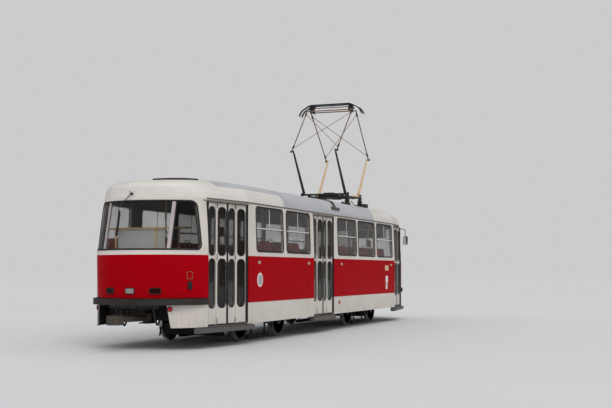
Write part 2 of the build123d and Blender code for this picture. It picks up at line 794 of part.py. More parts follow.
# Pantograph base: four insulators on the roof, two long tubes and the shaft brackets
foot_x, foot_z = pantograph_foot
knee_x, knee_z = pantograph_knee
top_x, top_z = pantograph_top
base_tube_z = 3225
base_tube_radius = 22
cross_tube_radius = 17
shaft_radius = 25
bracket_y = 605
with BuildPart() as pantograph_base:
    for x in (pantograph_x - foot_x, pantograph_x + foot_x):
        for y in (-pantograph_half_width, pantograph_half_width):
            with Locations((x, y, 2950)):
                Cylinder(38, base_tube_z - 2950, align=(Align.CENTER, Align.CENTER, Align.MIN))
            for level in (3085, 3120, 3155):
                with Locations((x, y, level)):
                    Cylinder(65, 16)
            with Locations((x, y, 2950)):
                Box(170, 130, 3062 - 2950, align=(Align.CENTER, Align.CENTER, Align.MIN))
            bracket = sorted((y * bracket_y / pantograph_half_width, y * (bracket_y + 30) / pantograph_half_width))
            block((x - 45, x + 45), bracket, (base_tube_z, foot_z + 45))
            cylinder_y(x, foot_z, (y - 60, y + 60), shaft_radius + shaft_gap, Mode.SUBTRACT)
    for y in (-pantograph_half_width, pantograph_half_width):
        rod((pantograph_x - 640, y, base_tube_z), (pantograph_x + 640, y, base_tube_z), base_tube_radius)
    for x in (pantograph_x - 300, pantograph_x + 300):
        rod((x, -pantograph_half_width, base_tube_z), (x, pantograph_half_width, base_tube_z), cross_tube_radius)
    add(roof_clearance, mode=Mode.SUBTRACT)
finish(pantograph_base, "pantograph_base")

lower_arm_y = 555
lower_arm_radii = (24, 16)
eye_y = (582, 612)
eye_radius = 34
knee_radius = 20
knee_pin_y = (540, 618)
top_radius = 15
arm_y = 597
top_arm_y = 620


def tapered_rod(start, end, start_radius, end_radius):
    """Round bar that narrows along its length."""
    along = Plane(origin=start, z_dir=end - start)
    with BuildSketch(along) as foot_section:
        Circle(start_radius)
    with BuildSketch(along.offset((end - start).length)) as knee_section:
        Circle(end_radius)
    loft([foot_section.sketch, knee_section.sketch], ruled=True)


def lower_frame():
    """Rear lower frame: the turning shaft, two narrowing arms and their knee pins."""
    foot = Vector(pantograph_x - foot_x, 0, foot_z)
    knee = Vector(pantograph_x - knee_x, 0, knee_z)
    with BuildPart() as arms:
        cylinder_y(foot.X, foot.Z, (-bracket_y - 30, bracket_y + 30), shaft_radius)
        step = (knee - foot).normalized() * 6
        for hand in (-1, 1):
            arm = Vector(0, hand * lower_arm_y, 0)
            tapered_rod(foot + step + arm, knee - step + arm, *lower_arm_radii)
            cylinder_y(knee.X, knee.Z, sorted((hand * knee_pin_y[0], hand * knee_pin_y[1])), knee_radius)
    return arms


def upper_frame():
    """Rear upper frame: two eyes on the knee tube, two arms, the top tube and two stays."""
    knee = Vector(pantograph_x - knee_x, 0, knee_z)
    top = Vector(pantograph_x - top_x, 0, top_z)
    along = (top - knee).normalized()
    with BuildPart() as arms:
        cylinder_y(top.X, top.Z, (-top_arm_y - 25, top_arm_y + 25), top_radius)
        for hand in (-1, 1):
            cylinder_y(knee.X, knee.Z, sorted((hand * eye_y[0], hand * eye_y[1])), eye_radius)
            rod(knee + along * 30 + Vector(0, hand * arm_y, 0), top + Vector(0, hand * top_arm_y, 0), 14)
            brace = knee + along * 120
            rod(brace + Vector(0, hand * arm_y, 0), top - along * 120 - Vector(0, hand * top_arm_y, 0), 7)
        cylinder_y(knee.X, knee.Z, (-knee_pin_y[1], knee_pin_y[1]), knee_radius + shaft_gap, Mode.SUBTRACT)
    return arms


pantograph_middle = Plane.YZ.offset(pantograph_x)
for frame_name, rear_frame in (("lower", lower_frame()), ("upper", upper_frame())):
    finish(rear_frame, f"pantograph_{frame_name}_rear")
    with BuildPart() as front_frame:
        add(mirror(rear_frame.part, about=pantograph_middle))
    finish(front_frame, f"pantograph_{frame_name}_front")

# Collector head: two plates on the top tubes carry a pair of strips with horns
plate_y = (520, 532)
strip_x = 95
strip_width = 60
strip_thickness = 24
strip_height = 160
strip_flat_y = 560
horn_bend = (790, 130)
horn_tip = (860, 265)
head_tube_height = 95
head_tube_radius = 11
head_slot_play = 20
with BuildPart() as collector_head:
    with BuildSketch(Plane.XZ.offset(-plate_y[0])) as plate:
        with Locations((pantograph_x, top_z)):
            Polygon(
                (-185, -32), (205, -32), (205, 30), (130, strip_height - 10),
                (-130, strip_height - 10), (-185, 30), align=None,
            )
        with Locations((pantograph_x - top_x, top_z)):
            Circle(top_radius + shaft_gap, mode=Mode.SUBTRACT)
        with Locations((pantograph_x + top_x, top_z)):
            SlotOverall(2 * (top_radius + head_slot_play), 2 * top_radius + 6, mode=Mode.SUBTRACT)
    extrude(plate.sketch, amount=plate_y[0] - plate_y[1])
    extrude(plate.sketch.moved(Location((0, -plate_y[0] - plate_y[1], 0))), amount=plate_y[0] - plate_y[1])
    with BuildSketch(Plane.YZ.offset(pantograph_x)) as strip:
        with BuildLine() as strip_line:
            strip_z = top_z + strip_height
            FilletPolyline(
                (-horn_tip[0], strip_z - horn_tip[1]), (-horn_bend[0], strip_z - horn_bend[1]),
                (-strip_flat_y, strip_z), (strip_flat_y, strip_z),
                (horn_bend[0], strip_z - horn_bend[1]), (horn_tip[0], strip_z - horn_tip[1]), radius=200,
            )
        trace(line_width=strip_thickness)
    for side in (-1, 1):
        extrude(strip.sketch.moved(Location((side * strip_x, 0, 0))), amount=strip_width / 2, both=True)
    cylinder_y(pantograph_x, top_z + head_tube_height, (-plate_y[1], plate_y[1]), head_tube_radius)
finish(collector_head, "collector_head")

# Seats: bent shells on pedestals, all facing forward. Columns: x, y
seat_width = 420
seat_height = 430
seats_left = [(-4560 + 760 * place, 950) for place in range(12)]
seats_right = [(x, -950) for x in (-4260, -3500, -2740, -1980, 420, 1180, 1940, 2700, 3460, 4220)]
seats_rear = [(-6120, y) for y in (-160, 290, 740)]
with BuildPart() as seat:
    with BuildSketch(Plane.XZ.offset(-seat_width / 2)) as seat_profile:
        with BuildLine():
            FilletPolyline((400, seat_height + 15), (0, seat_height), (-110, seat_height + 560), radius=90)
        trace(line_width=18)
    extrude(amount=seat_width)
    seat_corners = seat.edges().filter_by(GeomType.LINE).filter_by(lambda e: 15 < e.length < 25)
    fillet(seat_corners, 60)
    with Locations((190, 0, 0)):
        Cylinder(28, seat_height + 4, align=(Align.CENTER, Align.CENTER, Align.MIN))
        Cylinder(90, 12, align=(Align.CENTER, Align.CENTER, Align.MIN))
with BuildPart() as seats:
    for x, y in seats_left + seats_right + seats_rear:
        add(seat.part.moved(Location((x, y, floor_top + seat_gap))))
finish(seats, "seats")

# Handrails: two long ceiling rails on poles, and a rail across behind the rear window
rail_radius = 16
rail_y = 560
rail_height = 2820
rear_rail_x = -6380
rear_rail_y = 850
pole_xs = (-4650, -3150, -1500, 30, 1600, 3120, 4640)
with BuildPart() as handrails:
    for y in (-rail_y, rail_y):
        rod((pole_xs[0] - 100, y, rail_height), (pole_xs[-1] + 100, y, rail_height), rail_radius)
        for x in pole_xs:
            rod((x, y, floor_top + seat_gap), (x, y, rail_height - rail_radius - seat_gap), rail_radius)
    for y in (-620, -180, 620):
        rod((rear_rail_x, y, floor_top + seat_gap), (rear_rail_x, y, 2075 - rail_radius - seat_gap), rail_radius)
    rod((rear_rail_x, -rear_rail_y, 2075), (rear_rail_x, rear_rail_y, 2075), rail_radius)
finish(handrails, "handrails")

# Cab: a glazed wall behind the driver, a half-height side wall and the desk
with BuildPart() as cab_partition:
    with BuildSketch(Plane.YZ.offset(4960)) as wall_face:
        with Locations((500, (floor_top + seat_gap + 2560) / 2)):
            Rectangle(1280, 2560 - floor_top - seat_gap)
        with Locations((500, 2050)):
            RectangleRounded(1000, 760, 60, mode=Mode.SUBTRACT)
    extrude(amount=30)
    block((4990 + seat_gap, 5950), (-140, -110), (floor_top + seat_gap, 1900))
finish(cab_partition, "cab_partition")

with BuildPart() as driver_desk:
    with BuildSketch(Plane.XZ) as desk_profile:
        Polygon(
            (6330, floor_top + seat_gap), (6650, floor_top + seat_gap), (6720, 1620), (6400, 1620),
            (6180, 1560), (6180, 1500), (6300, 1470), align=None,
        )
    extrude(amount=520, both=True)
    add(body_solid(body_rows, side_gap), mode=Mode.INTERSECT)
finish(driver_desk, "driver_desk")

with BuildPart() as driver_seat:
    add(seat.part.moved(Location((5480, 480, floor_top + seat_gap))))
finish(driver_seat, "driver_seat")

# Lamps: headlamps in front, red lamps and a pale lamp behind, and small marker lamps on the sides
marker_xs = (-4361, -1727, 411, 4465)
with BuildPart() as lamps:
    for y in (-560, 560):
        with BuildSketch(Plane.YZ.offset(6600)):
            with Locations((y, 1050)):
                Circle(105)
        extrude(amount=400)
    for y, width in ((-430, 170), (0, 160), (430, 170)):
        with BuildSketch(Plane.YZ.offset(-6600)):
            with Locations((y, 1000)):
                RectangleRounded(width, 90, 20)
        extrude(amount=-400)
    add(body_solid(body_rows, -14), mode=Mode.INTERSECT)
    for x in marker_xs:
        for side in (-1, 1):
            with BuildSketch(Plane.XZ.offset(-side * (body_half_width - 30))):
                with Locations((x, 1495)):
                    SlotOverall(90, 46)
            extrude(amount=-side * 50)
    add(body_clearance, mode=Mode.SUBTRACT)
finish(lamps, "lamps")

# Mirrors on bent arms at the front corners
mirror_x = 6480
mirror_y = 1090
with BuildPart() as mirrors:
    for side in (-1, 1):
        rod((6400, side * 800, 2575), (mirror_x, side * mirror_y, 2500), 10)
        rod((mirror_x, side * mirror_y, 2500), (mirror_x, side * mirror_y, 2300), 9)
        with BuildSketch(Plane.YZ.offset(mirror_x - 20)) as head:
            with Locations((side * (mirror_y + 5), 2200)):
                RectangleRounded(130, 240, 30)
        extrude(amount=40)
    add(body_clearance, mode=Mode.SUBTRACT)
finish(mirrors, "mirrors")

# Roof equipment ahead of the pantograph: an arrester on its foot and a switch box
with BuildPart() as roof_equipment:
    with Locations((4950, -330, 2900)):
        Box(260, 200, 250, align=(Align.CENTER, Align.CENTER, Align.MIN))
    with Locations((4950, 260, 2900)):
        Cylinder(45, 330, align=(Align.CENTER, Align.CENTER, Align.MIN))
    add(roof_clearance, mode=Mode.SUBTRACT)
finish(roof_equipment, "roof_equipment")
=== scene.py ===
import json
from math import acos, atan2, copysign, cos, hypot, pi, radians, sin, sqrt, tan

import bmesh
import bpy
from mathutils import Matrix, Vector


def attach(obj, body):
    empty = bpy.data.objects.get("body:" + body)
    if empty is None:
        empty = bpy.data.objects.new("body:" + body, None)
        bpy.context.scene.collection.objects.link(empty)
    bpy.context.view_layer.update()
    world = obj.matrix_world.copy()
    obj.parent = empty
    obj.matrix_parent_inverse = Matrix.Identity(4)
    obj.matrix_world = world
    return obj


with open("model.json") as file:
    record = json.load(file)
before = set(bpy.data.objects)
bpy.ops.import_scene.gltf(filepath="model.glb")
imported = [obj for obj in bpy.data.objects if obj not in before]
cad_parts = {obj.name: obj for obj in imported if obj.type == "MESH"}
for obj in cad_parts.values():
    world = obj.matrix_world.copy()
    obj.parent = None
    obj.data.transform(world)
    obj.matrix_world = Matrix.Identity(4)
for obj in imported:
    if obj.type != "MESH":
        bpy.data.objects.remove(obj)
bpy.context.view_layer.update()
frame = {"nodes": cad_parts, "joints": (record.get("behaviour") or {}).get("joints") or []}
nodes = frame["nodes"]
joint_of = {joint["child"]: joint for joint in frame["joints"]}
X, Y, Z = Vector((1, 0, 0)), Vector((0, 1, 0)), Vector((0, 0, 1))

# Materials


class Shader:
    """Builds one procedural material node by node."""

    def __init__(self, name):
        self.material = bpy.data.materials.new(name)
        self.material.use_nodes = True
        self.tree = self.material.node_tree
        self.principled = self.tree.nodes["Principled BSDF"]
        self.coordinates = self.tree.nodes.new("ShaderNodeTexCoord").outputs["Object"]

    def link(self, source, target):
        """Links an output to an input, or sets the input to a value."""
        if hasattr(source, "is_linked"):
            self.tree.links.new(source, target)
        elif target.type == "RGBA":
            target.default_value = (*source, 1)
        else:
            target.default_value = source

    def node(self, kind, inputs=None, **settings):
        made = self.tree.nodes.new(kind)
        for key, value in settings.items():
            setattr(made, key, value)
        for key, value in (inputs or {}).items():
            self.link(value, made.inputs[key])
        return made

    def math(self, operation, *inputs):
        return self.node("ShaderNodeMath", dict(enumerate(inputs)), operation=operation).outputs[0]

    def axis(self, name):
        return self.node("ShaderNodeSeparateXYZ", {0: self.coordinates}).outputs[name]

    def noise(self, scale, detail=4.0, stretch=(1, 1, 1)):
        mapping = self.node("ShaderNodeMapping", {"Vector": self.coordinates, "Scale": stretch})
        values = {"Vector": mapping.outputs[0], "Scale": scale, "Detail": detail, "Roughness": 0.55}
        return self.node("ShaderNodeTexNoise", values).outputs["Fac"]

    def ramp(self, value, low, high, to_low=0.0, to_high=1.0):
        values = {"Value": value, "From Min": low, "From Max": high, "To Min": to_low, "To Max": to_high}
        return self.node("ShaderNodeMapRange", values, interpolation_type="SMOOTHSTEP").outputs[0]

    def mix(self, factor, first, second):
        values = {"Factor": factor, 6: first, 7: second}
        return self.node("ShaderNodeMix", values, data_type="RGBA").outputs[2]

    def bump(self, height, strength, distance):
        made = self.node("ShaderNodeBump", {"Height": height, "Strength": strength, "Distance": distance})
        self.link(made.outputs[0], self.principled.inputs["Normal"])

    def finish(self, colour, roughness, metallic=0.0, coat=0.0, specular=0.5):
        values = {"Base Color": colour, "Roughness": roughness, "Metallic": metallic, "Coat Weight": coat,
                  "Coat Roughness": 0.12, "Specular IOR Level": specular}
        for key, value in values.items():
            self.link(value, self.principled.inputs[key])
        return self.material


RED = (0.35, 0.0008, 0.005)
CREAM = (0.605, 0.557, 0.505)
DUST = (0.19, 0.155, 0.125)
DUSTY_RED = (0.115, 0.006, 0.006)
BELT_Z, PAINT_EDGE = 1.61, 0.0015
ROOF_CREAM, ROOF_CREAM_SOOT = (0.66, 0.625, 0.58), (0.3, 0.25, 0.2)
ROOF_GREY, ROOF_GREY_SOOT, ROOF_GRIT = (0.4, 0.4, 0.415), (0.22, 0.2, 0.185), (0.5, 0.49, 0.48)
# Grey coat on the roof: half length of its wide part, then end and lowest height of the strip on the crest
COAT_HALF, STRIP_END, STRIP_Z = 3.05, 5.7, 2.83
COAT_EDGE, COAT_FILLET = 0.004, 0.22


def worn(name, base, grime, rough=(0.4, 0.6), metallic=0.0, coat=0.0, scale=3.0, grain=90.0,
         relief=0.0008, amount=0.5, stretch=(1, 1, 1)):
    """Base colour broken up by soft patches and fine speckle of grime, with a fine grain in the relief."""
    shader = Shader(name)
    patches = shader.ramp(shader.noise(scale, 6, stretch), 0.42, 0.75)
    speckle = shader.ramp(shader.noise(grain, 3), 0.5, 0.8)
    spots = shader.math("MAXIMUM", patches, shader.math("MULTIPLY", speckle, 0.6))
    colour = shader.mix(shader.math("MULTIPLY", spots, amount), base, grime)
    roughness = shader.ramp(shader.noise(scale * 4, 5, stretch), 0.3, 0.7, *rough)
    shader.bump(shader.noise(grain, 4), 0.25, relief)
    return shader.finish(colour, roughness, metallic, coat)


def coachwork(name, upper, lower=None, dirt_top=1.1, dirt=0.5):
    """Coach paint in one or two colours, dusty towards the ground and streaked by rain."""
    shader = Shader(name)
    height = shader.axis("Z")
    colour, dust = upper, DUST
    if lower:
        split = shader.ramp(height, BELT_Z - PAINT_EDGE, BELT_Z + PAINT_EDGE)
        colour = shader.mix(split, lower, upper)
        dust = shader.mix(split, DUSTY_RED, DUST)
    fade = shader.ramp(shader.noise(0.9, 4, (1, 1, 1.6)), 0.35, 0.7)
    colour = shader.mix(shader.math("MULTIPLY", fade, 0.12), colour, dust)
    streaks = shader.ramp(shader.noise(7.0, 5, (3.5, 3.5, 0.22)), 0.52, 0.82, 0.0, 0.65)
    low = shader.ramp(height, 0.36, dirt_top, 1.0, 0.12)
    speckle = shader.ramp(shader.noise(60, 3), 0.48, 0.72)
    mask = shader.math("MULTIPLY", shader.math("ADD", shader.math("MULTIPLY", speckle, 0.35), streaks), low)
    colour = shader.mix(shader.math("MULTIPLY", mask, dirt), colour, dust)
    roughness = shader.ramp(shader.noise(5.0, 5), 0.3, 0.75, 0.26, 0.42)
    shader.bump(shader.noise(2.2, 2, (1, 1, 0.6)), 0.1, 0.004)
    return shader.finish(colour, roughness, specular=0.008 if lower else 0.12)


def roof_coat():
    """Grey coat over the middle of the roof, which runs out to the rear as a strip along the crest."""
    shader = Shader("roof_coating")
    along = shader.math("ABSOLUTE", shader.axis("X"))
    middle = shader.math("SUBTRACT", along, COAT_HALF)
    front_half = shader.ramp(shader.axis("X"), 2.0, 2.6)
    crest = shader.math("ADD", shader.math("SUBTRACT", STRIP_Z, shader.axis("Z")), front_half)
    joined = shader.math("SMOOTH_MIN", middle, crest, COAT_FILLET)
    edge = shader.math("MAXIMUM", joined, shader.math("SUBTRACT", along, STRIP_END))
    mask = shader.ramp(edge, -COAT_EDGE, COAT_EDGE, 1.0, 0.0)
    soot = shader.ramp(shader.noise(1.7, 6, (0.5, 1.6, 1.6)), 0.4, 0.75)
    cream = shader.mix(shader.math("MULTIPLY", soot, 0.16), ROOF_CREAM, ROOF_CREAM_SOOT)
    grey = shader.mix(shader.math("MULTIPLY", soot, 0.3), ROOF_GREY, ROOF_GREY_SOOT)
    speckle = shader.ramp(shader.noise(160, 2), 0.45, 0.75)
    grey = shader.mix(shader.math("MULTIPLY", speckle, 0.12), grey, ROOF_GRIT)
    colour = shader.mix(mask, cream, grey)
    roughness = shader.ramp(mask, 0, 1, 0.42, 0.85)
    shader.bump(shader.math("MULTIPLY", shader.noise(220, 3), mask), 0.35, 0.0012)
    return shader.finish(colour, roughness)


def window_glass(name, tint):
    """Clear flat glass: lamps shine through it, so the cabin is lit."""
    shader = Shader(name)
    film = shader.ramp(shader.noise(3.0, 5, (1, 1, 0.6)), 0.35, 0.8, 0.015, 0.07)
    glass = shader.principled
    values = {"Base Color": tint, "Transmission Weight": 1.0, "IOR": 1.33, "Roughness": film}
    for key, value in values.items():
        shader.link(value, glass.inputs[key])
    clear = shader.node("ShaderNodeBsdfTransparent", {"Color": tint})
    shadow = shader.node("ShaderNodeLightPath").outputs["Is Shadow Ray"]
    either = shader.node("ShaderNodeMixShader", {0: shadow, 1: glass.outputs[0], 2: clear.outputs[0]})
    shader.link(either.outputs[0], shader.tree.nodes["Material Output"].inputs["Surface"])
    return shader.material


def ribbed_lens(name, base, dark, coat=0.3, specular=0.35):
    """Moulded lamp lens with fine upright ribs."""
    shader = Shader(name)
    values = {"Vector": shader.coordinates, "Scale": 21.0, "Distortion": 0.2}
    ribs = shader.node("ShaderNodeTexWave", values, wave_type="BANDS", bands_direction="Y").outputs["Fac"]
    colour = shader.mix(ribs, dark, base)
    shader.bump(ribs, 0.5, 0.002)
    roughness = shader.ramp(shader.noise(30), 0.3, 0.7, 0.14, 0.3)
    return shader.finish(colour, roughness, coat=coat, specular=specular)


def floor_finish():
    """Pale studio floor with a faint mottle."""
    shader = Shader("studio_floor")
    mottle = shader.ramp(shader.noise(0.12, 3), 0.3, 0.7)
    return shader.finish(shader.mix(mottle, (0.6, 0.6, 0.6), (0.615, 0.615, 0.612)), 0.75)


paint = {
    "body": coachwork("body_paint", CREAM, RED),
    "cream": coachwork("cream_paint", CREAM, dirt_top=0.85, dirt=0.75),
    "door": coachwork("door_paint", CREAM, dirt_top=1.0, dirt=0.5),
    "roof": roof_coat(),
    # Cabin laminate: its tone is darkened to paint in the shade inside the car
    "inside": worn("laminate_darkened_as_painted_shade", (0.17, 0.155, 0.135), (0.1, 0.085, 0.07), (0.45, 0.6), amount=0.35),
    # Ceiling: its tone is darkened to paint in the shade inside the car
    "ceiling": worn("ceiling_darkened_as_painted_shade", (0.17, 0.16, 0.14), (0.1, 0.09, 0.075), (0.5, 0.7), amount=0.3),
    "rubber": worn("rubber", (0.012, 0.012, 0.013), (0.045, 0.04, 0.037), (0.55, 0.8), amount=0.6,
                   relief=0.0004),
    "bumper": worn("bumper_rubber", (0.016, 0.011, 0.01), (0.045, 0.034, 0.029), (0.5, 0.75), amount=0.7,
                   stretch=(1, 1, 4)),
    "glass": window_glass("glass", (0.78, 0.79, 0.78)),
    "door_glass": window_glass("door_glass", (0.37, 0.37, 0.36)),
    "side_pane": window_glass("side_pane", (0.71, 0.715, 0.71)),
    "corner_glass": window_glass("corner_glass", (0.32, 0.32, 0.31)),
    "steel": worn("grimy_steel", (0.016, 0.014, 0.013), (0.055, 0.044, 0.035), (0.5, 0.85), 0.3, scale=5,
                  amount=0.8),
    "sill": worn("worn_sill", (0.135, 0.125, 0.115), (0.07, 0.06, 0.052), (0.45, 0.7), 0.4, amount=0.6,
                 stretch=(0.3, 1, 1)),
    "draw_gear": worn("draw_gear", (0.085, 0.068, 0.055), (0.035, 0.026, 0.02), (0.5, 0.8), 0.3, scale=6,
                      amount=0.7),
    "wheel": worn("wheel_steel", (0.12, 0.1, 0.085), (0.045, 0.034, 0.027), (0.4, 0.75), 0.7, amount=0.7),
    "tread": worn("tread_steel", (0.55, 0.53, 0.51), (0.3, 0.27, 0.24), (0.22, 0.4), 1.0, amount=0.35),
    "floor": worn("floor_covering", (0.085, 0.083, 0.08), (0.16, 0.14, 0.12), (0.55, 0.8), amount=0.6,
                  grain=260),
    "seat": worn("seat_shell", (0.4, 0.018, 0.022), (0.2, 0.012, 0.014), (0.3, 0.5), coat=0.2, amount=0.45),
    "rail": worn("rail_enamel", (0.8, 0.52, 0.25), (0.55, 0.34, 0.15), (0.25, 0.45), coat=0.3, scale=9),
    "cab": worn("cab_panel", (0.22, 0.225, 0.225), (0.12, 0.11, 0.1), (0.45, 0.65), amount=0.4),
    "trim": worn("bright_trim", (0.62, 0.61, 0.59), (0.32, 0.29, 0.26), (0.25, 0.45), 0.85, scale=8,
                 amount=0.45),
    "mullion": worn("mullion_paint", (0.4, 0.345, 0.345), (0.3, 0.25, 0.23), (0.35, 0.5), amount=0.35),
    "black": worn("black_enamel", (0.014, 0.013, 0.013), (0.06, 0.05, 0.043), (0.4, 0.65), scale=8),
    "tan": worn("tan_enamel", (0.62, 0.43, 0.24), (0.3, 0.17, 0.09), (0.4, 0.6), scale=12, amount=0.55),
    "rust": worn("weathered_tube", (0.26, 0.17, 0.115), (0.07, 0.045, 0.033), (0.5, 0.75), 0.3, scale=9,
                 amount=0.75),
    "carbon": worn("carbon_strip", (0.035, 0.034, 0.036), (0.09, 0.075, 0.065), (0.35, 0.6), 0.5),
    "porcelain": worn("porcelain", (0.035, 0.018, 0.014), (0.022, 0.015, 0.013), (0.15, 0.3), coat=0.5,
                      amount=0.4),
    "lens_red": ribbed_lens("lens_red", (0.026, 0.0016, 0.002), (0.01, 0.001, 0.001), 0.0, 0.08),
    "lens_clear": ribbed_lens("lens_clear", (0.36, 0.34, 0.32), (0.16, 0.15, 0.14)),
    "lens_cream": ribbed_lens("lens_cream", (0.66, 0.54, 0.4), (0.45, 0.34, 0.22)),
    "reflector": ribbed_lens("reflector_red", (0.62, 0.006, 0.02), (0.35, 0.004, 0.01)),
    "orange": ribbed_lens("lens_orange", (0.6, 0.16, 0.02), (0.35, 0.09, 0.01)),
    "silver": worn("silver_mirror", (0.72, 0.73, 0.74), (0.5, 0.5, 0.5), (0.04, 0.08), 1.0, amount=0.1,
                   relief=0.0),
    "brass": worn("old_brass", (0.4, 0.27, 0.1), (0.14, 0.09, 0.05), (0.35, 0.6), 0.8, scale=20,
                  amount=0.6),
    "board": worn("board", (0.34, 0.35, 0.35), (0.26, 0.26, 0.25), (0.5, 0.7), amount=0.35),
    "drip": worn("drip_rail", (0.16, 0.115, 0.075), (0.06, 0.045, 0.035), (0.5, 0.7), scale=6, amount=0.6),
    "seam": worn("panel_seam", (0.09, 0.01, 0.01), (0.05, 0.02, 0.018), (0.5, 0.7), amount=0.4),
    "label": worn("pale_label", (0.74, 0.7, 0.67), (0.6, 0.55, 0.52), (0.35, 0.5), scale=16, amount=0.3),
    "grey_board": worn("grey_board", (0.66, 0.66, 0.65), (0.52, 0.52, 0.5), (0.5, 0.7), amount=0.35),
    "roof_steel": worn("roof_conduit", (0.11, 0.1, 0.095), (0.05, 0.04, 0.035), (0.5, 0.75), 0.2, scale=8,
                       amount=0.6),
    "orange_box": worn("orange_case", (0.55, 0.19, 0.02), (0.3, 0.11, 0.02), (0.35, 0.5), scale=14,
                       amount=0.35),
    "plate": worn("blank_plate", (0.6, 0.58, 0.54), (0.42, 0.39, 0.35), (0.35, 0.55), scale=14, amount=0.4),
}

# Materials of the CAD nodes


def islands(mesh):
    """Root vertex of the solid that each face belongs to, and each root's box."""
    parent = list(range(len(mesh.vertices)))

    def find(index):
        while parent[index] != index:
            parent[index] = parent[parent[index]]
            index = parent[index]
        return index

    place = {}
    for vertex in mesh.vertices:
        key = tuple(round(value, 5) for value in vertex.co)
        if key in place:
            parent[find(vertex.index)] = find(place[key])
        place[key] = vertex.index
    for polygon in mesh.polygons:
        first = find(polygon.vertices[0])
        for index in polygon.vertices[1:]:
            parent[find(index)] = first
    points = {}
    for vertex in mesh.vertices:
        points.setdefault(find(vertex.index), []).append(vertex.co)
    boxes = {root: [Vector([pick(row) for row in zip(*group)]) for pick in (min, max)]
             for root, group in points.items()}
    return [find(polygon.vertices[0]) for polygon in mesh.polygons], boxes


def dress(node, names, chooser=None):
    """Gives a CAD node its materials; chooser picks each face's own from the face and its solid's box."""
    mesh = nodes[node].data
    mesh.materials.clear()
    for name in names:
        mesh.materials.append(paint[name])
    if chooser:
        roots, boxes = islands(mesh)
        for polygon, root in zip(mesh.polygons, roots):
            polygon.material_index = names.index(chooser(polygon, boxes[root]))


def inner_face(polygon):
    """True if a wall face looks towards the car's inside."""
    centre = polygon.center
    inwards = Vector((-centre.x if abs(centre.x) > 6.0 else 0.0, -centre.y, 0.0))
    return polygon.normal.dot(inwards.normalized()) > 0.3


def shell_colour(polygon, box):
    """Inside, body paint, or the paint of the mullions beside the windscreens."""
    x, y, z = polygon.center
    if 0.585 < abs(y) < 0.655 and 1.71 < z < 2.525 and abs(x) > 6.3:
        return "mullion"
    return "inside" if inner_face(polygon) else "body"


def skirt_colour(polygon, box):
    return "steel" if inner_face(polygon) else "cream"


def end_glass_colour(polygon, box):
    """Corner panes are darker than the windscreens."""
    return "corner_glass" if abs((box[0] + box[1]).y) > 1.0 else "glass"


def roof_colour(polygon, box):
    """The ceiling looks towards a line along the car's middle."""
    middle = Vector((max(-4.5, min(4.5, polygon.center.x)), 0, 2.0))
    return "ceiling" if polygon.normal.dot(polygon.center - middle) < 0 else "roof"


def lamp_colour(polygon, box):
    low, high = box
    if low.x > 6:
        return "lens_clear"
    if high.x < -6:
        return "lens_clear" if abs(low.y + high.y) < 0.1 else "lens_red"
    return "lens_cream"


def wheel_colour(polygon, box):
    """The tread is the outermost ring of a wheel, without its sides."""
    middle = (box[0] + box[1]) / 2
    reach = hypot(polygon.center.x - middle.x, polygon.center.z - middle.z)
    return "tread" if 0.335 < reach and abs(polygon.normal.y) < 0.5 else "wheel"


def leaf_colour(polygon, box):
    """Panes are the leaf's low solids."""
    return "door_glass" if (box[1] - box[0]).z < 1.0 else "door"


for name in ("side_wall_right", "side_wall_left", "end_shell_front", "end_shell_rear"):
    dress(name, ["body", "inside", "mullion"], shell_colour)
dress("skirts", ["cream", "steel"], skirt_colour)
dress("end_glass", ["glass", "corner_glass"], end_glass_colour)
dress("roof_shell", ["roof", "ceiling"], roof_colour)
dress("lamps", ["lens_clear", "lens_red", "lens_cream"], lamp_colour)
for name in nodes:
    if name.startswith("wheelset"):
        dress(name, ["wheel", "tread"], wheel_colour)
    if name.endswith("_leaf"):
        dress(name, ["door", "door_glass"], leaf_colour)

# Nodes in a single material
PLAIN_NODES = {
    "steel": "underframe bolsters coupler_brackets underfloor_equipment bogie_frame_front bogie_frame_rear "
             "bogie_drive_front bogie_drive_rear rail_brakes_front rail_brakes_rear",
    "black": "roof_hood roof_equipment mirrors pantograph_base pantograph_lower_rear",
    "cab": "cab_partition driver_desk driver_seat",
    "floor": "floor door_steps",
    "sill": "door_sills",
    "bumper": "bumpers",
    "side_pane": "side_glass",
    "seat": "seats",
    "rail": "handrails",
    "draw_gear": "coupler_front coupler_rear",
    "tan": "pantograph_lower_front",
    "rust": "pantograph_upper_rear pantograph_upper_front",
    "carbon": "collector_head",
}
for material, names in PLAIN_NODES.items():
    for name in names.split():
        dress(name, [material])

# Mesh tools

BOX_FACES = [(0, 2, 3, 1), (4, 5, 7, 6), (0, 1, 5, 4), (2, 6, 7, 3), (0, 4, 6, 2), (1, 3, 7, 5)]
SHARP_ANGLE = radians(40)
LEAST_RADIUS = 0.0002


def between(start, end, steps):
    """Equally spaced values from start to end."""
    return [start + (end - start) * k / steps for k in range(steps + 1)]


def turns(count):
    """Angles of a full turn in equal steps."""
    return [2 * pi * k / count for k in range(count)]


def circle(centre, up, side, radius, count):
    """Points of a circle in the plane of two directions."""
    return [centre + (up * cos(a) + side * sin(a)) * radius for a in turns(count)]


def neighbours(row, i, closed=False):
    """Items before and after item i of a row, or the item itself at an open end."""
    last = len(row) - 1
    return row[i - 1 if i or closed else 0], row[(i + 1) % len(row) if i < last or closed else last]


def rounded(low_x, high_x, low_z, high_z, radius, steps=7):
    """Rounded rectangle as a closed row of (x, z)."""
    points = []
    for x, z, first in (
        (high_x - radius, low_z + radius, -90), (high_x - radius, high_z - radius, 0),
        (low_x + radius, high_z - radius, 90), (low_x + radius, low_z + radius, 180),
    ):
        angles = [radians(degree) for degree in between(first, first + 90, steps)]
        points += [(x + radius * cos(a), z + radius * sin(a)) for a in angles]
    return points


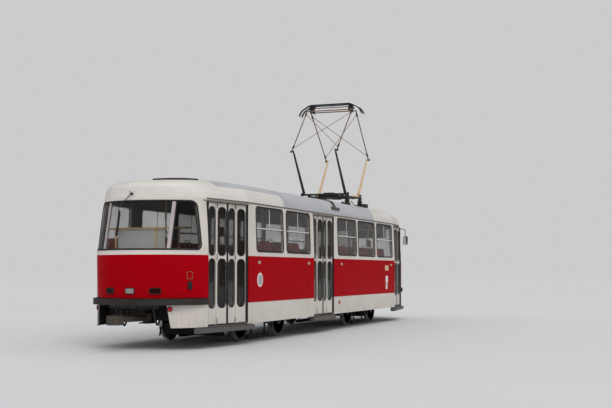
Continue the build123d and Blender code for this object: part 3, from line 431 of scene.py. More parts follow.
class Build:
    """Collects closed forms and makes them into one piece."""

    def __init__(self):
        self.verts, self.faces = [], []

    def add(self, verts, faces):
        base = len(self.verts)
        self.verts += [Vector(v) for v in verts]
        self.faces += [tuple(base + index for index in face) for face in faces]
        return self

    def box(self, corner, opposite, place=lambda *point: point):
        """Box between two opposite corners, in axes that place maps to the frame."""
        xs, ys, zs = (sorted(pair) for pair in zip(corner, opposite))
        return self.add([place(x, y, z) for z in zs for y in ys for x in xs], BOX_FACES)

    def loop(self, rings, closed=False):
        """Skins a row of rings that all have the same number of points, and caps an open row."""
        count = len(rings[0])
        faces = []
        for i in range(len(rings) if closed else len(rings) - 1):
            a, b = i * count, ((i + 1) % len(rings)) * count
            faces += [(a + k, a + (k + 1) % count, b + (k + 1) % count, b + k) for k in range(count)]
        if not closed:
            last = (len(rings) - 1) * count
            faces += [tuple(range(count)), tuple(last + k for k in reversed(range(count)))]
        return self.add([point for ring in rings for point in ring], faces)

    def slab(self, row, low_x, high_x):
        """Plate across the car whose outline is a row of (y, z)."""
        return self.loop([[(x, y, z) for y, z in row] for x in (low_x, high_x)])

    def tube(self, points, radius, sides=10, end_radius=None):
        """Round bar along a line of points, tapered if it has another radius at its end."""
        points = [Vector(point) for point in points]
        radii = between(radius, end_radius or radius, len(points) - 1)
        rings = []
        up = None
        for i, point in enumerate(points):
            before, after = neighbours(points, i)
            along = (after - before).normalized()
            up = up or along.orthogonal().normalized()
            up = (up - along * up.dot(along)).normalized()
            rings.append(circle(point, up, along.cross(up), radii[i], sides))
        return self.loop(rings)

    def coil(self, start, end, radius, wire, rounds, sides=6):
        """Coil spring between two points."""
        start, end = Vector(start), Vector(end)
        along = (end - start).normalized()
        up = along.orthogonal().normalized()
        spots = circle(Vector((0, 0, 0)), up, along.cross(up), radius, 12)
        steps = rounds * len(spots)
        line = [start.lerp(end, k / steps) + spots[k % len(spots)] for k in range(steps + 1)]
        return self.tube(line, wire, sides)

    def lathe(self, centre, axis, profile, sides=24):
        """Turns a profile of (distance along the axis, radius) points."""
        centre, axis = Vector(centre), Vector(axis).normalized()
        up = axis.orthogonal().normalized()
        side = axis.cross(up)
        return self.loop([circle(centre + axis * along, up, side, max(radius, LEAST_RADIUS), sides)
                          for along, radius in profile])

    def button(self, centre, axis, radius, height, bevel, sides, sunk=0.0):
        """Round button or bolt head; bevel is its (height, width)."""
        rise, inset = bevel
        return self.lathe(centre, axis, [(-sunk, radius), (height - rise, radius), (height, radius - inset),
                                         (height, 0.0)], sides)

    def sweep(self, placed, profile, closed=False):
        """Sweeps a profile of (across, out) points along (point, outward normal) pairs."""
        rings = []
        for i, (point, normal) in enumerate(placed):
            before, after = neighbours(placed, i, closed)
            across = normal.cross((after[0] - before[0]).normalized()).normalized()
            rings.append([point + across * a + normal * b for a, b in profile])
        return self.loop(rings, closed)

    def ribbon(self, placed, half_width, low, high, closed=False):
        """Flat strip along a surface, between two distances out of it."""
        profile = [(-half_width, low), (-half_width, high), (half_width, high), (half_width, low)]
        return self.sweep(placed, profile, closed)

    def make(self, name, material, body="body", bevel=0.0, flat=False):
        """Makes one mesh piece that rides on a body, shaded smooth unless it is flat or has a bevel."""
        mesh = bpy.data.meshes.new(name)
        mesh.from_pydata([tuple(v) for v in self.verts], [], self.faces)
        mesh.validate()
        tidy = bmesh.new()
        tidy.from_mesh(mesh)
        bmesh.ops.recalc_face_normals(tidy, faces=tidy.faces)
        tidy.to_mesh(mesh)
        tidy.free()
        made = bpy.data.objects.new(name, mesh)
        bpy.context.scene.collection.objects.link(made)
        mesh.materials.append(paint[material])
        if bevel:
            rounding = made.modifiers.new("bevel", "BEVEL")
            rounding.width = bevel
            rounding.segments = 2
            rounding.limit_method = "ANGLE"
        elif not flat:
            for polygon in mesh.polygons:
                polygon.use_smooth = True
            mesh.set_sharp_from_angle(angle=SHARP_ANGLE)
        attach(made, body)


# The body's skin

HALF_WIDTH, TAPER_START, TAPER, CORNER_RADIUS = 1.25, 4.82, 8.2, 0.9
# Outlines of the body: height, half width, nose x, nose radius
ROWS = [
    (0.377, HALF_WIDTH, 6.94, 1.15), (0.76, HALF_WIDTH, 6.94, 1.15), (1.61, HALF_WIDTH, 6.96, 1.2),
    (2.6, 1.22, 6.7, 1.3),
]
SIDE_STEPS, TAPER_STEPS, CORNER_STEPS, NOSE_STEPS = 8, 8, 14, 18
QUARTER = SIDE_STEPS + TAPER_STEPS + CORNER_STEPS + NOSE_STEPS


def arc(centre, start, end, steps):
    """Points of an arc, without its start."""
    first = atan2(start.y - centre.y, start.x - centre.x)
    last = atan2(end.y - centre.y, end.x - centre.x)
    radius = (start - centre).length
    return [centre + Vector((cos(a), sin(a))) * radius for a in between(first, last, steps)[1:]]


def quarter(half_width, nose_x, nose):
    """One quarter of an outline, from the middle of the side round to the nose."""
    lean = radians(TAPER)
    across, along = Vector((sin(lean), cos(lean))), Vector((cos(lean), -sin(lean)))
    start = Vector((TAPER_START, half_width))
    nose_centre = Vector((nose_x - nose, 0))
    base = start - across * CORNER_RADIUS - nose_centre
    reach = base.dot(along)
    travel = sqrt(reach**2 - base.dot(base) + (nose - CORNER_RADIUS) ** 2) - reach
    corner_centre = start - across * CORNER_RADIUS + along * travel
    taper_end = start + along * travel
    nose_start = nose_centre + (corner_centre - nose_centre) * (nose / (nose - CORNER_RADIUS))
    points = [Vector((x, half_width)) for x in between(0, TAPER_START, SIDE_STEPS)]
    points += [start.lerp(taper_end, share) for share in between(0, 1, TAPER_STEPS)[1:]]
    points += arc(corner_centre, taper_end, nose_start, CORNER_STEPS)
    return points + arc(nose_centre, nose_start, Vector((nose_x, 0)), NOSE_STEPS)


QUARTERS = [quarter(*row[1:]) for row in ROWS]


def plan(k, z):
    """Point of the outline at height z, k counted from the middle of the left side round the front."""
    mirrored = k > QUARTER
    k = 2 * QUARTER - k if mirrored else k
    i = min(int(k), QUARTER - 1)
    level = 0
    while level < len(ROWS) - 2 and z > ROWS[level + 1][0]:
        level += 1
    low, high = (points[i].lerp(points[i + 1], k - i) for points in QUARTERS[level:level + 2])
    point = low.lerp(high, (z - ROWS[level][0]) / (ROWS[level + 1][0] - ROWS[level][0]))
    return Vector((point.x, -point.y if mirrored else point.y, z))


def skin(end, k, z):
    """Point of the body's outer skin and its outward normal; end is 1 in front and -1 behind."""
    point = plan(k, z)
    along = plan(min(k + 0.3, 2 * QUARTER), z) - plan(max(k - 0.3, 0), z)
    rise = plan(k, z + 0.01) - plan(k, z - 0.01)
    normal = rise.cross(along).normalized()
    if normal.dot(point - Vector((min(point.x, 4.9), 0, z))) < 0:
        normal = -normal
    flip = Vector((end, 1, 1))
    return point * flip, normal * flip


def position(comes_before, z, side):
    """Outline position on one side where the points stop coming before the one looked for."""
    low, high = 0.0, float(QUARTER)
    for _ in range(40):
        middle = (low + high) / 2
        if comes_before(plan(middle, z)):
            low = middle
        else:
            high = middle
    return low if side > 0 else 2 * QUARTER - low


def k_at(x, z, side):
    """Outline position of the point x along the car on one side; side is 1 on the left."""
    return position(lambda point: point.x < abs(x), z, side)


def wall(x, z, side):
    """Point and normal of the skin at a place along the car."""
    return skin(1 if x >= 0 else -1, k_at(x, z, side), z)


def side_line(start, end, z, side, step=0.25):
    """Points and normals along one side at a height."""
    return [wall(x, z, side) for x in between(start, end, max(1, int(abs(end - start) / step)))]


def upright(x, low, high, side):
    """Points and normals up one side."""
    return [wall(x, z, side) for z in between(low, high, 4)]


def end_face(end, y, z):
    """Point and normal of the skin of an end at a distance across the car."""
    return skin(end, position(lambda point: point.y > abs(y), z, y), z)


def off_end(end, y, z, out):
    """Point at a distance out of an end."""
    point, normal = end_face(end, y, z)
    return point + normal * out


def around(end, first, z):
    """Points and normals round an end, from an outline position on the left to the same on the right."""
    return [skin(end, k, z) for k in between(first, 2 * QUARTER - first, 60)]


def end_ring(end, y, z, half_y, half_z, corner):
    """Points and normals round a rounded rectangle on an end."""
    row = rounded(y - half_y, y + half_y, z - half_z, z + half_z, corner, 5)
    return [end_face(end, a, b) for a, b in row]


ENDS = [(-1, "rear"), (1, "front")]
SIDE_WINDOWS = [(-4.457, -3.127), (-2.946, -1.616), (0.2, 1.558), (1.711, 3.06), (3.241, 4.618)]
BARRED = SIDE_WINDOWS[:3] + SIDE_WINDOWS[4:]
# Sides: sign, name, windows, windows with a bar, upright seams
SIDES = [
    (-1, "right", SIDE_WINDOWS, BARRED, (-3.62, -1.86, 2.02, 3.72)),
    (1, "left", SIDE_WINDOWS + [(-6.04, -4.9), (-1.377, -0.077), (4.9, 6.04)],
     BARRED + [(-1.377, -0.077)], (-3.62, -1.9, 0.1, 2.02, 3.72)),
]
SILL_Z, HEAD_Z = 1.705, 2.53
RUBBER_GAP = 0.004
SCREEN_X, SCREEN_CORNER, WINDOW_CORNER = 6.296, 0.094, 0.079
PANE_OUT = -0.0145
# Profiles of (across, out) points
GASKET = [(-0.016, -0.004), (-0.016, 0.004), (-0.01, 0.009), (0.004, 0.01), (0.013, 0.006), (0.016, -0.004)]
RAIN_STRIP = [(-0.01, -0.002), (-0.01, 0.01), (-0.004, 0.014), (0.008, 0.014), (0.01, 0.006), (0.01, -0.002)]
DRIP_RAIL = [(-0.006, -0.002), (-0.006, 0.012), (0.0, 0.016), (0.006, 0.01), (0.006, -0.002)]
PANE_RUBBER = [(-0.01, -0.003), (-0.01, 0.002), (-0.004, 0.005), (0.006, 0.004), (0.009, -0.003)]
LAMP_FRAME = [(-0.007, -0.002), (-0.007, 0.014), (-0.003, 0.019), (0.004, 0.017), (0.007, -0.002)]
HEADLAMP_RIM = [(-0.012, -0.002), (-0.012, 0.016), (-0.004, 0.024), (0.006, 0.018), (0.01, -0.002)]
WIPER_BLADE = [
    (-0.009, 0.001), (-0.005, 0.02), (-0.009, 0.036), (0.009, 0.036), (0.005, 0.02), (0.009, 0.001),
]
BUMPER_LIP = [(-0.005, -0.002), (-0.005, 0.016), (0.002, 0.02), (0.005, -0.002)]
ROOF_SEAM = [(-0.01, -0.002), (-0.006, 0.0035), (0.006, 0.0035), (0.01, -0.002)]
CARBON = [(-0.022, -0.003), (-0.02, 0.006), (0.02, 0.006), (0.022, -0.003)]

# Windows


def dense(points, step=0.3):
    """Adds points on the long straight runs of a closed row, so that it follows the curved skin."""
    made = []
    for i, (x, z) in enumerate(points):
        next_x, next_z = points[(i + 1) % len(points)]
        count = max(1, int(hypot(next_x - x, next_z - z) / step))
        made += list(zip(between(x, next_x, count), between(z, next_z, count)))[:-1]
    return made


def screen_outline(end):
    """Points and normals round a windscreen opening."""
    low, high = SILL_Z - RUBBER_GAP, HEAD_Z + RUBBER_GAP
    top_x = SCREEN_X + SCREEN_CORNER
    corner = [(top_x - SCREEN_CORNER * sin(a), low + SCREEN_CORNER - SCREEN_CORNER * cos(a))
              for a in between(0, pi / 2, 8)]
    upright_z = between(low + SCREEN_CORNER, high - SCREEN_CORNER, 4)[1:-1]
    edge = corner + [(SCREEN_X, z) for z in upright_z] + [(x, high + low - z) for x, z in reversed(corner)]
    left, right = ([skin(end, k_at(x, z, side), z) for x, z in edge] for side in (1, -1))
    top, bottom = (around(end, k_at(top_x, z, 1), z)[1:-1] for z in (high, low))
    return left + top + right[::-1] + bottom[::-1]


def window_rubbers(side, windows):
    """Rubbers over the edges of the side windows."""
    made = Build()
    low, high = SILL_Z - RUBBER_GAP, HEAD_Z + RUBBER_GAP
    for rear, front in windows:
        row = rounded(rear - RUBBER_GAP, front + RUBBER_GAP, low, high, WINDOW_CORNER)
        made.sweep([wall(x, z, side) for x, z in dense(row)], GASKET, closed=True)
    return made


BAR_Z, BAR_END_GAP = 2.133, 0.002


def window_bars(side, side_name, windows):
    """Bar across each divided window, with an upright bar, a runner and two catches above it."""
    bars, catches, runners = Build(), Build(), Build()
    for rear, front in windows:
        middle = (rear + front) / 2
        ends = rear + BAR_END_GAP, front - BAR_END_GAP
        bars.ribbon(side_line(*ends, BAR_Z, side), 0.011, PANE_OUT, -0.004)
        bars.ribbon(upright(middle, BAR_Z, HEAD_Z, side), 0.009, PANE_OUT, -0.005)
        runners.ribbon(side_line(*ends, BAR_Z - 0.016, side), 0.004, PANE_OUT, -0.006)
        for x in (middle - 0.07, middle + 0.07):
            _, y, z = wall(x, BAR_Z + 0.03, side)[0]
            catches.box((x - 0.018, y - side * 0.004, z - 0.007), (x + 0.018, y - side * 0.026, z + 0.007))
    bars.make(f"window_bars_{side_name}", "plate", bevel=0.0015)
    runners.make(f"window_runners_{side_name}", "rubber", flat=True)
    catches.make(f"window_catches_{side_name}", "trim", bevel=0.002)


# Seams, strips, labels and lamps on the sides

SEAM_Z, SEAM_TOP, SEAM_BOTTOM = 0.915, 1.58, 0.8
MARKER_Z, MARKER_HALF_X, MARKER_HALF_Z = 1.495, 0.052, 0.03


def panel_seams(side, places):
    """Upright seams and two long ones that stop at the middle doorway."""
    made = Build()
    for x in places:
        made.ribbon(upright(x, SEAM_BOTTOM, SEAM_TOP, side), 0.0016, -0.002, 0.0007)
    for ends in ((-4.7, -1.5), (0.02, 4.7)):
        made.ribbon(side_line(*ends, SEAM_Z, side), 0.0012, -0.002, 0.0006)
    return made


def marker_bezels(side):
    """Oval rims of the small side lamps."""
    made = Build()
    for x in (-4.361, -1.727, 0.411, 4.465):
        row = [(x + MARKER_HALF_X * cos(a), MARKER_Z + MARKER_HALF_Z * sin(a)) for a in turns(28)]
        made.ribbon([wall(a, b, side) for a, b in row], 0.004, -0.002, 0.006, closed=True)
    return made


for side, side_name, windows, barred, seam_places in SIDES:
    window_rubbers(side, windows).make(f"window_rubbers_{side_name}", "rubber")
    window_bars(side, side_name, barred)
    rain_line = side_line(-6.1, 6.1, 2.588, side, 0.12)
    Build().sweep(rain_line, RAIN_STRIP).make(f"rain_strip_{side_name}", "drip")
    panel_seams(side, seam_places).make(f"panel_seams_{side_name}", "seam", flat=True)
    marker_bezels(side).make(f"marker_bezels_{side_name}", "trim")
for end, end_name in ENDS:
    rubber = Build().sweep(screen_outline(end), GASKET, closed=True)
    rubber.make(f"screen_rubber_{end_name}", "rubber")

# Round blank badge on the right side: piece, material, distance out, radius, height, bevel
point, normal = wall(-4.31, 1.17, -1)
for name, material, out, radius, height, bevel in (
    ("side_badge_rim", "label", -0.002, 0.132, 0.0045, (0.001, 0.004)),
    ("side_badge_field", "board", 0.002, 0.098, 0.0034, (0.0004, 0.003)),
):
    Build().button(point + normal * out, normal, radius, height, bevel, 48).make(name, material)

# Blank labels on the right side: piece, material, distances out, then place and half size of each
for name, material, out, places in (
    ("side_labels", "label", (-0.001, 0.0012),
     [(4.08, 1.125, 0.1, 0.085), (4.07, 1.0, 0.085, 0.022), (4.06, 0.915, 0.07, 0.05)]),
    ("side_label_square", "tan", (-0.001, 0.0012), [(4.08, 1.415, 0.16, 0.065)]),
    ("window_label", "reflector", (PANE_OUT, -0.0135), [(3.325, 1.8, 0.055, 0.075)]),
):
    labels = Build()
    for x, z, half_x, half_z in places:
        labels.ribbon(side_line(x - half_x, x + half_x, z, -1, 0.05), half_z, *out)
    labels.make(name, material, flat=True)

# Doors

# Doorways: middle along the car, lean of the wall in degrees
DOORWAYS = {"rear": (-5.48, -TAPER), "middle": (-0.727, 0.0), "front": (5.48, TAPER)}
# Leaves: outer face, inner face, both ends along the leaf, turn at rest in degrees
LEAVES = {"outer": (-0.015, 0.015, 0.006, 0.3111, 5), "inner": (0.004, 0.034, 0.004, 0.3091, -5)}
LEAF_LOW, LEAF_HIGH = 0.402, 2.528
PANES = [(0.695, 1.543), (1.61, 2.452)]
PANE_HALF, PANE_CORNER, PANE_GAP = 0.118, 0.097, 0.002
HINGE_HEIGHTS, HINGE_WIDTH = (0.46, 1.577, 2.49), 0.03
HANDLE = [(0, 1.2), (0.05, 1.24), (0.05, 1.36), (0, 1.4)]


def placer(origin, lean, sign=1):
    """Map from a door's own (along, inwards, up) to the frame."""
    turn = Matrix.Rotation(radians(lean), 3, "Z")
    return lambda u, v, z: origin + turn @ Vector((sign * u, v, z))


def leaf_fittings(body, place, outer_v, inner_v, low_u, high_u, is_inner):
    """Pane rubbers, edge rubbers, hinge plates and the inner leaf's handle."""
    middle = (low_u + high_u) / 2
    left, right = middle - PANE_HALF, middle + PANE_HALF
    outwards = (place(0, -1, 0) - place(0, 0, 0)).normalized()
    rubbers, edges, fittings = Build(), Build(), Build()
    for low, high in PANES:
        row = rounded(left, right, low - PANE_GAP, high + PANE_GAP, PANE_CORNER, 6)
        for v, normal in ((outer_v, outwards), (inner_v, -outwards)):
            rubbers.sweep([(place(u, v, z), normal) for u, z in row], PANE_RUBBER, closed=True)
    rubbers.make(f"{body}_pane_rubbers", "rubber", body)
    if is_inner:
        near, far, proud, hinge_u = high_u - 0.024, high_u + 0.0015, 0.003, low_u
        fittings.tube([place(high_u - 0.045, inner_v + v, z) for v, z in HANDLE], 0.009, 8)
    else:
        near, far, proud, hinge_u = low_u, low_u + 0.016, 0.002, high_u - HINGE_WIDTH
    edges.box((near, outer_v - proud - 0.001, LEAF_LOW), (far, inner_v + proud, LEAF_HIGH), place)
    edges.box((low_u + 0.003, outer_v - 0.003, 0.401), (high_u - 0.003, outer_v + 0.001, 0.413), place)
    edges.make(f"{body}_edge_rubbers", "rubber", body, bevel=0.001)
    for z in HINGE_HEIGHTS:
        low, high = (hinge_u, outer_v - 0.0018, z - 0.05), (hinge_u + HINGE_WIDTH, outer_v + 0.001, z + 0.05)
        fittings.box(low, high, place)
    fittings.make(f"{body}_fittings", "black", body, bevel=0.001)


def doorway_trim(door, centre_x, lean):
    """Jamb rubbers, head track and drip rail of a doorway."""
    taper_drop = max(0.0, abs(centre_x) - TAPER_START) * tan(radians(TAPER))
    place = placer(Vector((centre_x, taper_drop - HALF_WIDTH, 0)), lean)
    rubbers, head = Build(), Build()
    for sign in (-1, 1):
        for near, depth in ((0.6455, 0.049), (0.632, 0.018)):
            rubbers.box((sign * near, 0.012, 0.41), (sign * 0.6495, depth, 2.538), place)
    rubbers.make(f"{door}_jamb_rubbers", "rubber", bevel=0.001)
    head.box((-0.648, 0.014, 2.528), (0.648, 0.022, 2.5395), place)
    head.box((-0.648, 0.03, 2.532), (0.648, 0.072, 2.5395), place)
    head.make(f"{door}_head_track", "black", bevel=0.001)
    rail = [wall(x, 2.556, -1) for x in between(centre_x - 0.7, centre_x + 0.7, 20)]
    Build().sweep(rail, DRIP_RAIL).make(f"{door}_drip_rail", "drip")


for door, (centre_x, lean) in DOORWAYS.items():
    doorway_trim(door, centre_x, lean)
    for half, sign in (("rear", 1), ("front", -1)):
        for leaf, (*faces_and_ends, turn) in LEAVES.items():
            body = f"{door}_door_{half}_{leaf}_leaf"
            origin = Vector((*joint_of[body]["pos_m"][:2], 0))
            leaf_fittings(body, placer(origin, lean + sign * turn, sign), *faces_and_ends, leaf == "inner")

# Lamps and frames on the ends

SOCKET_Y = -0.9
rear_frames, sockets = Build(), Build()
for y, half_y in ((-0.43, 0.087), (0.0, 0.082), (0.43, 0.087)):
    rear_frames.sweep(end_ring(-1, y, 1.0, half_y, 0.047, 0.022), LAMP_FRAME, closed=True)
rear_frames.make("rear_lamp_frames", "black")
holder_ring = end_ring(-1, SOCKET_Y, 1.262, 0.03, 0.058, 0.008)
Build().ribbon(holder_ring, 0.004, -0.002, 0.006, closed=True).make("rear_holder", "brass", flat=True)
point, normal = end_face(-1, SOCKET_Y, 1.092)
for offset in (-0.032, 0.032):
    sockets.lathe(point - normal * 0.004 + Z * offset, normal, [
        (0, 0.04), (0.03, 0.04), (0.038, 0.034), (0.038, 0.026), (0.026, 0.02), (0.026, 0.0)])
sockets.make("rear_sockets", "rubber")

LAMP_Z, HEADLAMP_Y, HEADLAMP_RADIUS = 1.05, 0.56, 0.11
headlamp_rims, headlamps = Build(), Build()
for side in (-1, 1):
    point, normal = end_face(1, side * HEADLAMP_Y, LAMP_Z)
    ring = circle(point, Y, Z, HEADLAMP_RADIUS, 40)
    headlamp_rims.sweep([end_face(1, spot.y, spot.z) for spot in ring], HEADLAMP_RIM, closed=True)
    headlamps.lathe(point + normal * 0.013, normal,
                    [(0.0, 0.085), (0.006, 0.08), (0.013, 0.055), (0.016, 0.025), (0.017, 0.0)], 32)
headlamp_rims.make("headlamp_rims", "trim")
headlamps.make("headlamp_lenses", "lens_clear")

# Round lamps: both pieces and their materials, sides, depth, rim (radius, height, bevel), lens, places
for rims, rim_material, lenses, lens_material, sides, sunk, rim, lens, places in (
    ("skirt_lamp_base", "brass", "skirt_lamp_lens", "orange", 28, 0.006, (0.045, 0.016, (0.004, 0.005)),
     [(0.012, 0.034), (0.024, 0.03), (0.03, 0.016), (0.031, 0.0)], [wall(0.27, 0.627, -1)]),
    ("reflector_rims", "black", "reflectors", "reflector", 28, 0.005, (0.045, 0.013, (0.003, 0.004)),
     [(0.012, 0.037), (0.018, 0.035), (0.022, 0.02), (0.022, 0.0)],
     [end_face(end, y, 0.695) for end, _ in ENDS for y in (-0.648, 0.905)]),
    ("turn_lamp_rims", "trim", "turn_lamps", "orange", 32, 0.004, (0.052, 0.016, (0.004, 0.005)),
     [(0.014, 0.043), (0.024, 0.04), (0.032, 0.024), (0.033, 0.0)],
     [end_face(1, y, LAMP_Z) for y in (-0.885, 0.885)]),
):
    rim_build, lens_build = Build(), Build()
    for point, normal in places:
        rim_build.button(point - normal * sunk, normal, *rim, sides)
        lens_build.lathe(point - normal * sunk, normal, lens, sides)
    rim_build.make(rims, rim_material)
    lens_build.make(lenses, lens_material)

# Wipers and bumper lips

# Pivot, knee and tip of each wiper as (across, up)
WIPERS = {
    "rear": [((0.124, 2.656), (0.328, 2.418), (0.326, 1.974))],
    "front": [((0.3, 2.62), (0.16, 2.3), (0.12, 1.86)), ((-0.42, 2.62), (-0.56, 2.3), (-0.58, 1.86))],
}
BROW_LEAN, BROW_Z, SCREEN_LOW = radians(6), 2.6, 1.75


def wiper(arms, blades, end, pivot, knee, tip):
    """Arm from a pivot on the brow to the middle of a blade that lies on the windscreen."""
    brow, _ = end_face(end, pivot[0], BROW_Z - 0.005)
    root = Vector((brow.x - end * tan(BROW_LEAN) * (pivot[1] - BROW_Z), *pivot))
    out = Vector((end, 0, 0.1)).normalized()
    elbow = off_end(end, *knee, 0.05)
    middle = off_end(end, (knee[0] + tip[0]) / 2, (knee[1] + tip[1]) / 2, 0.038)
    arms.lathe(root - out * 0.01, out, [(0, 0.024), (0.03, 0.022), (0.045, 0.014), (0.05, 0.0)], 20)
    arms.tube([root + out * 0.035, elbow], 0.0075, 8)
    arms.tube([root + out * 0.035 + Y * 0.012, root + out * 0.03 + Vector((0, 0.03, 0.05))], 0.006, 8)
    arms.tube([elbow, middle], 0.006, 8)
    ys, zs = between(knee[0], tip[0], 8), between(knee[1] - 0.05, tip[1] - 0.05, 8)
    ys[0] += 0.02
    blades.sweep([end_face(end, y, max(z, SCREEN_LOW)) for y, z in zip(ys, zs)], WIPER_BLADE)


for end, end_name in ENDS:
    arms, blades = Build(), Build()
    for places in WIPERS[end_name]:
        wiper(arms, blades, end, *places)
    arms.make(f"{end_name}_wiper_arms", "black")
    blades.make(f"{end_name}_wiper_blades", "rubber", flat=True)
    lip = Build().sweep(around(end, k_at(6.18, 0.8, 1), 0.872), BUMPER_LIP)
    lip.make(f"{end_name}_bumper_lip", "black")

# Shelf and blank board behind the rear window

SHELF_Z = 1.68
shelf_edge = [point - normal * 0.056 for point, normal in around(-1, k_at(6.25, SHELF_Z, 1), SHELF_Z)]
shelf_rings = [[(point.x, point.y, z) for point in shelf_edge] for z in (SHELF_Z - 0.025, SHELF_Z + 0.005)]
Build().loop(shelf_rings).make("rear_shelf", "cab", bevel=0.004)
board_row = rounded(-0.34, 0.585, 1.687, 2.055, 0.025, 4)
Build().slab(board_row, -6.357, -6.345).make("rear_blank_board", "grey_board", bevel=0.002)
board_frame = Build()
board_frame.ribbon([(Vector((-6.351, y, z)), -X) for y, z in board_row], 0.006, -0.008, 0.01, closed=True)
for y in (-0.2, 0.45):
    board_frame.tube([(-6.345, y, 1.69), (-6.27, y, 1.69), (-6.345, y, 1.95)], 0.006, 8)
board_frame.make("rear_board_frame", "trim", flat=True)

# Blank box over the front window, on two brackets, and glass of the mirrors

blind = Build().slab(rounded(-0.52, 0.52, 2.27, 2.5, 0.02, 4), 6.44, 6.5)
for y in (-0.4, 0.4):
    blind.box((6.455, y - 0.02, 2.49), (6.485, y + 0.02, 2.572))
    blind.box((6.455, y - 0.02, 2.56), (6.668, y + 0.02, 2.572))
blind.make("front_blank_blind", "black", bevel=0.004)
panel = Build().slab(rounded(-0.48, 0.48, 2.3, 2.47, 0.012, 4), 6.499, 6.503)
panel.make("front_blank_panel", "plate", flat=True)
for side, side_name, *_ in SIDES:
    row = rounded(side * 1.095 - 0.055, side * 1.095 + 0.055, 2.09, 2.31, 0.022, 5)
    Build().slab(row, 6.4575, 6.4615).make(f"mirror_glass_{side_name}", "silver", flat=True)

# Roof

GUTTER_Z, ROOF_Z, COVE_Y, COVE_RADIUS = 2.6, 3.05, 0.87, 0.35
RISE = ROOF_Z - GUTTER_Z
CROWN = (COVE_Y**2 + RISE**2 - COVE_RADIUS**2) / (2 * (RISE - COVE_RADIUS))
COVE_START = CROWN * COVE_Y / (CROWN - COVE_RADIUS)


def roof_point(x, y):
    """Point and normal of the straight part of the roof at a distance across the car."""
    if abs(y) > COVE_START:
        centre_y, centre_z, radius = COVE_Y, GUTTER_Z, COVE_RADIUS
    else:
        centre_y, centre_z, radius = 0.0, ROOF_Z - CROWN, CROWN
    lean = acos(min(1.0, (abs(y) - centre_y) / radius))
    return Vector((x, y, centre_z + radius * sin(lean))), Vector((0, copysign(cos(lean), y), sin(lean)))


def duct(half_width, top, inset):
    """Profile of a duct with bevelled upper edges."""
    half = [(half_width - inset, top), (half_width, top - 0.008), (half_width, -0.004)]
    return [(-across, out) for across, out in reversed(half)] + half


# Corners of the conduit's route: along the car, across it
CONDUIT_ROUTE = [(1.36, -0.4), (0.98, -0.62), (0.66, -0.82), (0.4, -0.98), (0.22, -1.1), (0.13, -1.185)]
route = []
for start, end in zip(CONDUIT_ROUTE, CONDUIT_ROUTE[1:]):
    route += [roof_point(*Vector(start).lerp(Vector(end), k / 3)) for k in range(3)]
route.append(roof_point(*CONDUIT_ROUTE[-1]))
Build().sweep(route, duct(0.065, 0.02, 0.013)).make("roof_conduit", "roof_steel")
low_run = [roof_point(x, -1.19) for x in between(-0.12, 0.38, 5)]
Build().sweep(low_run, duct(0.03, 0.038, 0.01)).make("roof_conduit_box", "roof_steel")

# Rigid bus bar from the pantograph's base to the arrester: along, across, height over the roof
BUS_BAR = [(3.95, -0.32, 0.14), (4.2, -0.31, 0.06), (4.5, -0.3, 0.03), (4.8, -0.3, 0.06)]
bar = [roof_point(x, y)[0] + Z * lift for x, y, lift in BUS_BAR] + [(4.9, -0.3, 3.07)]
Build().tube(bar, 0.014).make("roof_bus_bar", "brass")
seams, rails = Build(), Build()
for x in between(-2.9, 2.9, 4):
    seams.sweep([roof_point(x, y) for y in between(-1.2, 1.2, 48)], ROOF_SEAM)
seams.make("roof_seams", "roof")
for y in (-0.34, 0.34):
    rails.ribbon([roof_point(x, y) for x in between(-2.9, 2.6, 20)], 0.02, -0.002, 0.02)
rails.make("roof_walkway_rails", "roof", bevel=0.003)

# Pantograph

MAST_X, SPRING_Z = 3.3, 3.262
SHAFT, KNEE, TOP = (0.52, 3.282), (1.3, 4.322), (0.15, 5.492)
SHED = 0.067
INSULATOR = [
    (0.0, 0.045), (0.008, 0.052), (0.018, SHED), (0.038, SHED + 0.0005), (0.042, 0.045), (0.052, 0.045),
    (0.054, SHED), (0.07, SHED + 0.0005), (0.076, 0.045), (0.087, 0.045), (0.089, SHED),
    (0.104, SHED + 0.0005), (0.112, 0.045), (0.14, 0.042), (0.14, 0.0),
]

# Main springs on their rods, and the drive box between them
springs, rods, drive = Build(), Build(), Build()
for y in (-0.18, 0.18):
    for start in (2.86, 3.34):
        springs.coil((start, y, SPRING_Z), (start + 0.4, y, SPRING_Z), 0.032, 0.006, 22)
    rods.tube([(2.8, y, SPRING_Z), (3.8, y, SPRING_Z)], 0.012, 8)
    rods.box((3.275, y - 0.03, 3.2), (3.325, y + 0.03, 3.3))
for x in (2.8, 3.8):
    rods.box((x - 0.02, -0.21, 3.235), (x + 0.02, 0.21, 3.29))
springs.make("pantograph_springs", "black")
rods.make("pantograph_spring_rods", "black", flat=True)
drive.box((2.815, -0.105, 3.205), (3.785, 0.105, 3.305))
drive.box((3.02, -0.125, 3.225), (3.58, 0.125, 3.345))
for x in (3.1, 3.3, 3.5):
    drive.box((x - 0.012, -0.131, 3.23), (x + 0.012, 0.131, 3.351))
for y in (-0.445, 0.445):
    drive.box((2.8, y - 0.03, 3.212), (3.8, y + 0.03, 3.262))
drive.make("pantograph_drive_box", "black", bevel=0.006)


SLEEVE_PAINT = {"rear": "black", "front": "tan"}
KNEE_CAP = [(0, 0.02), (0.006, 0.028), (0.014, 0.024), (0.014, 0)]


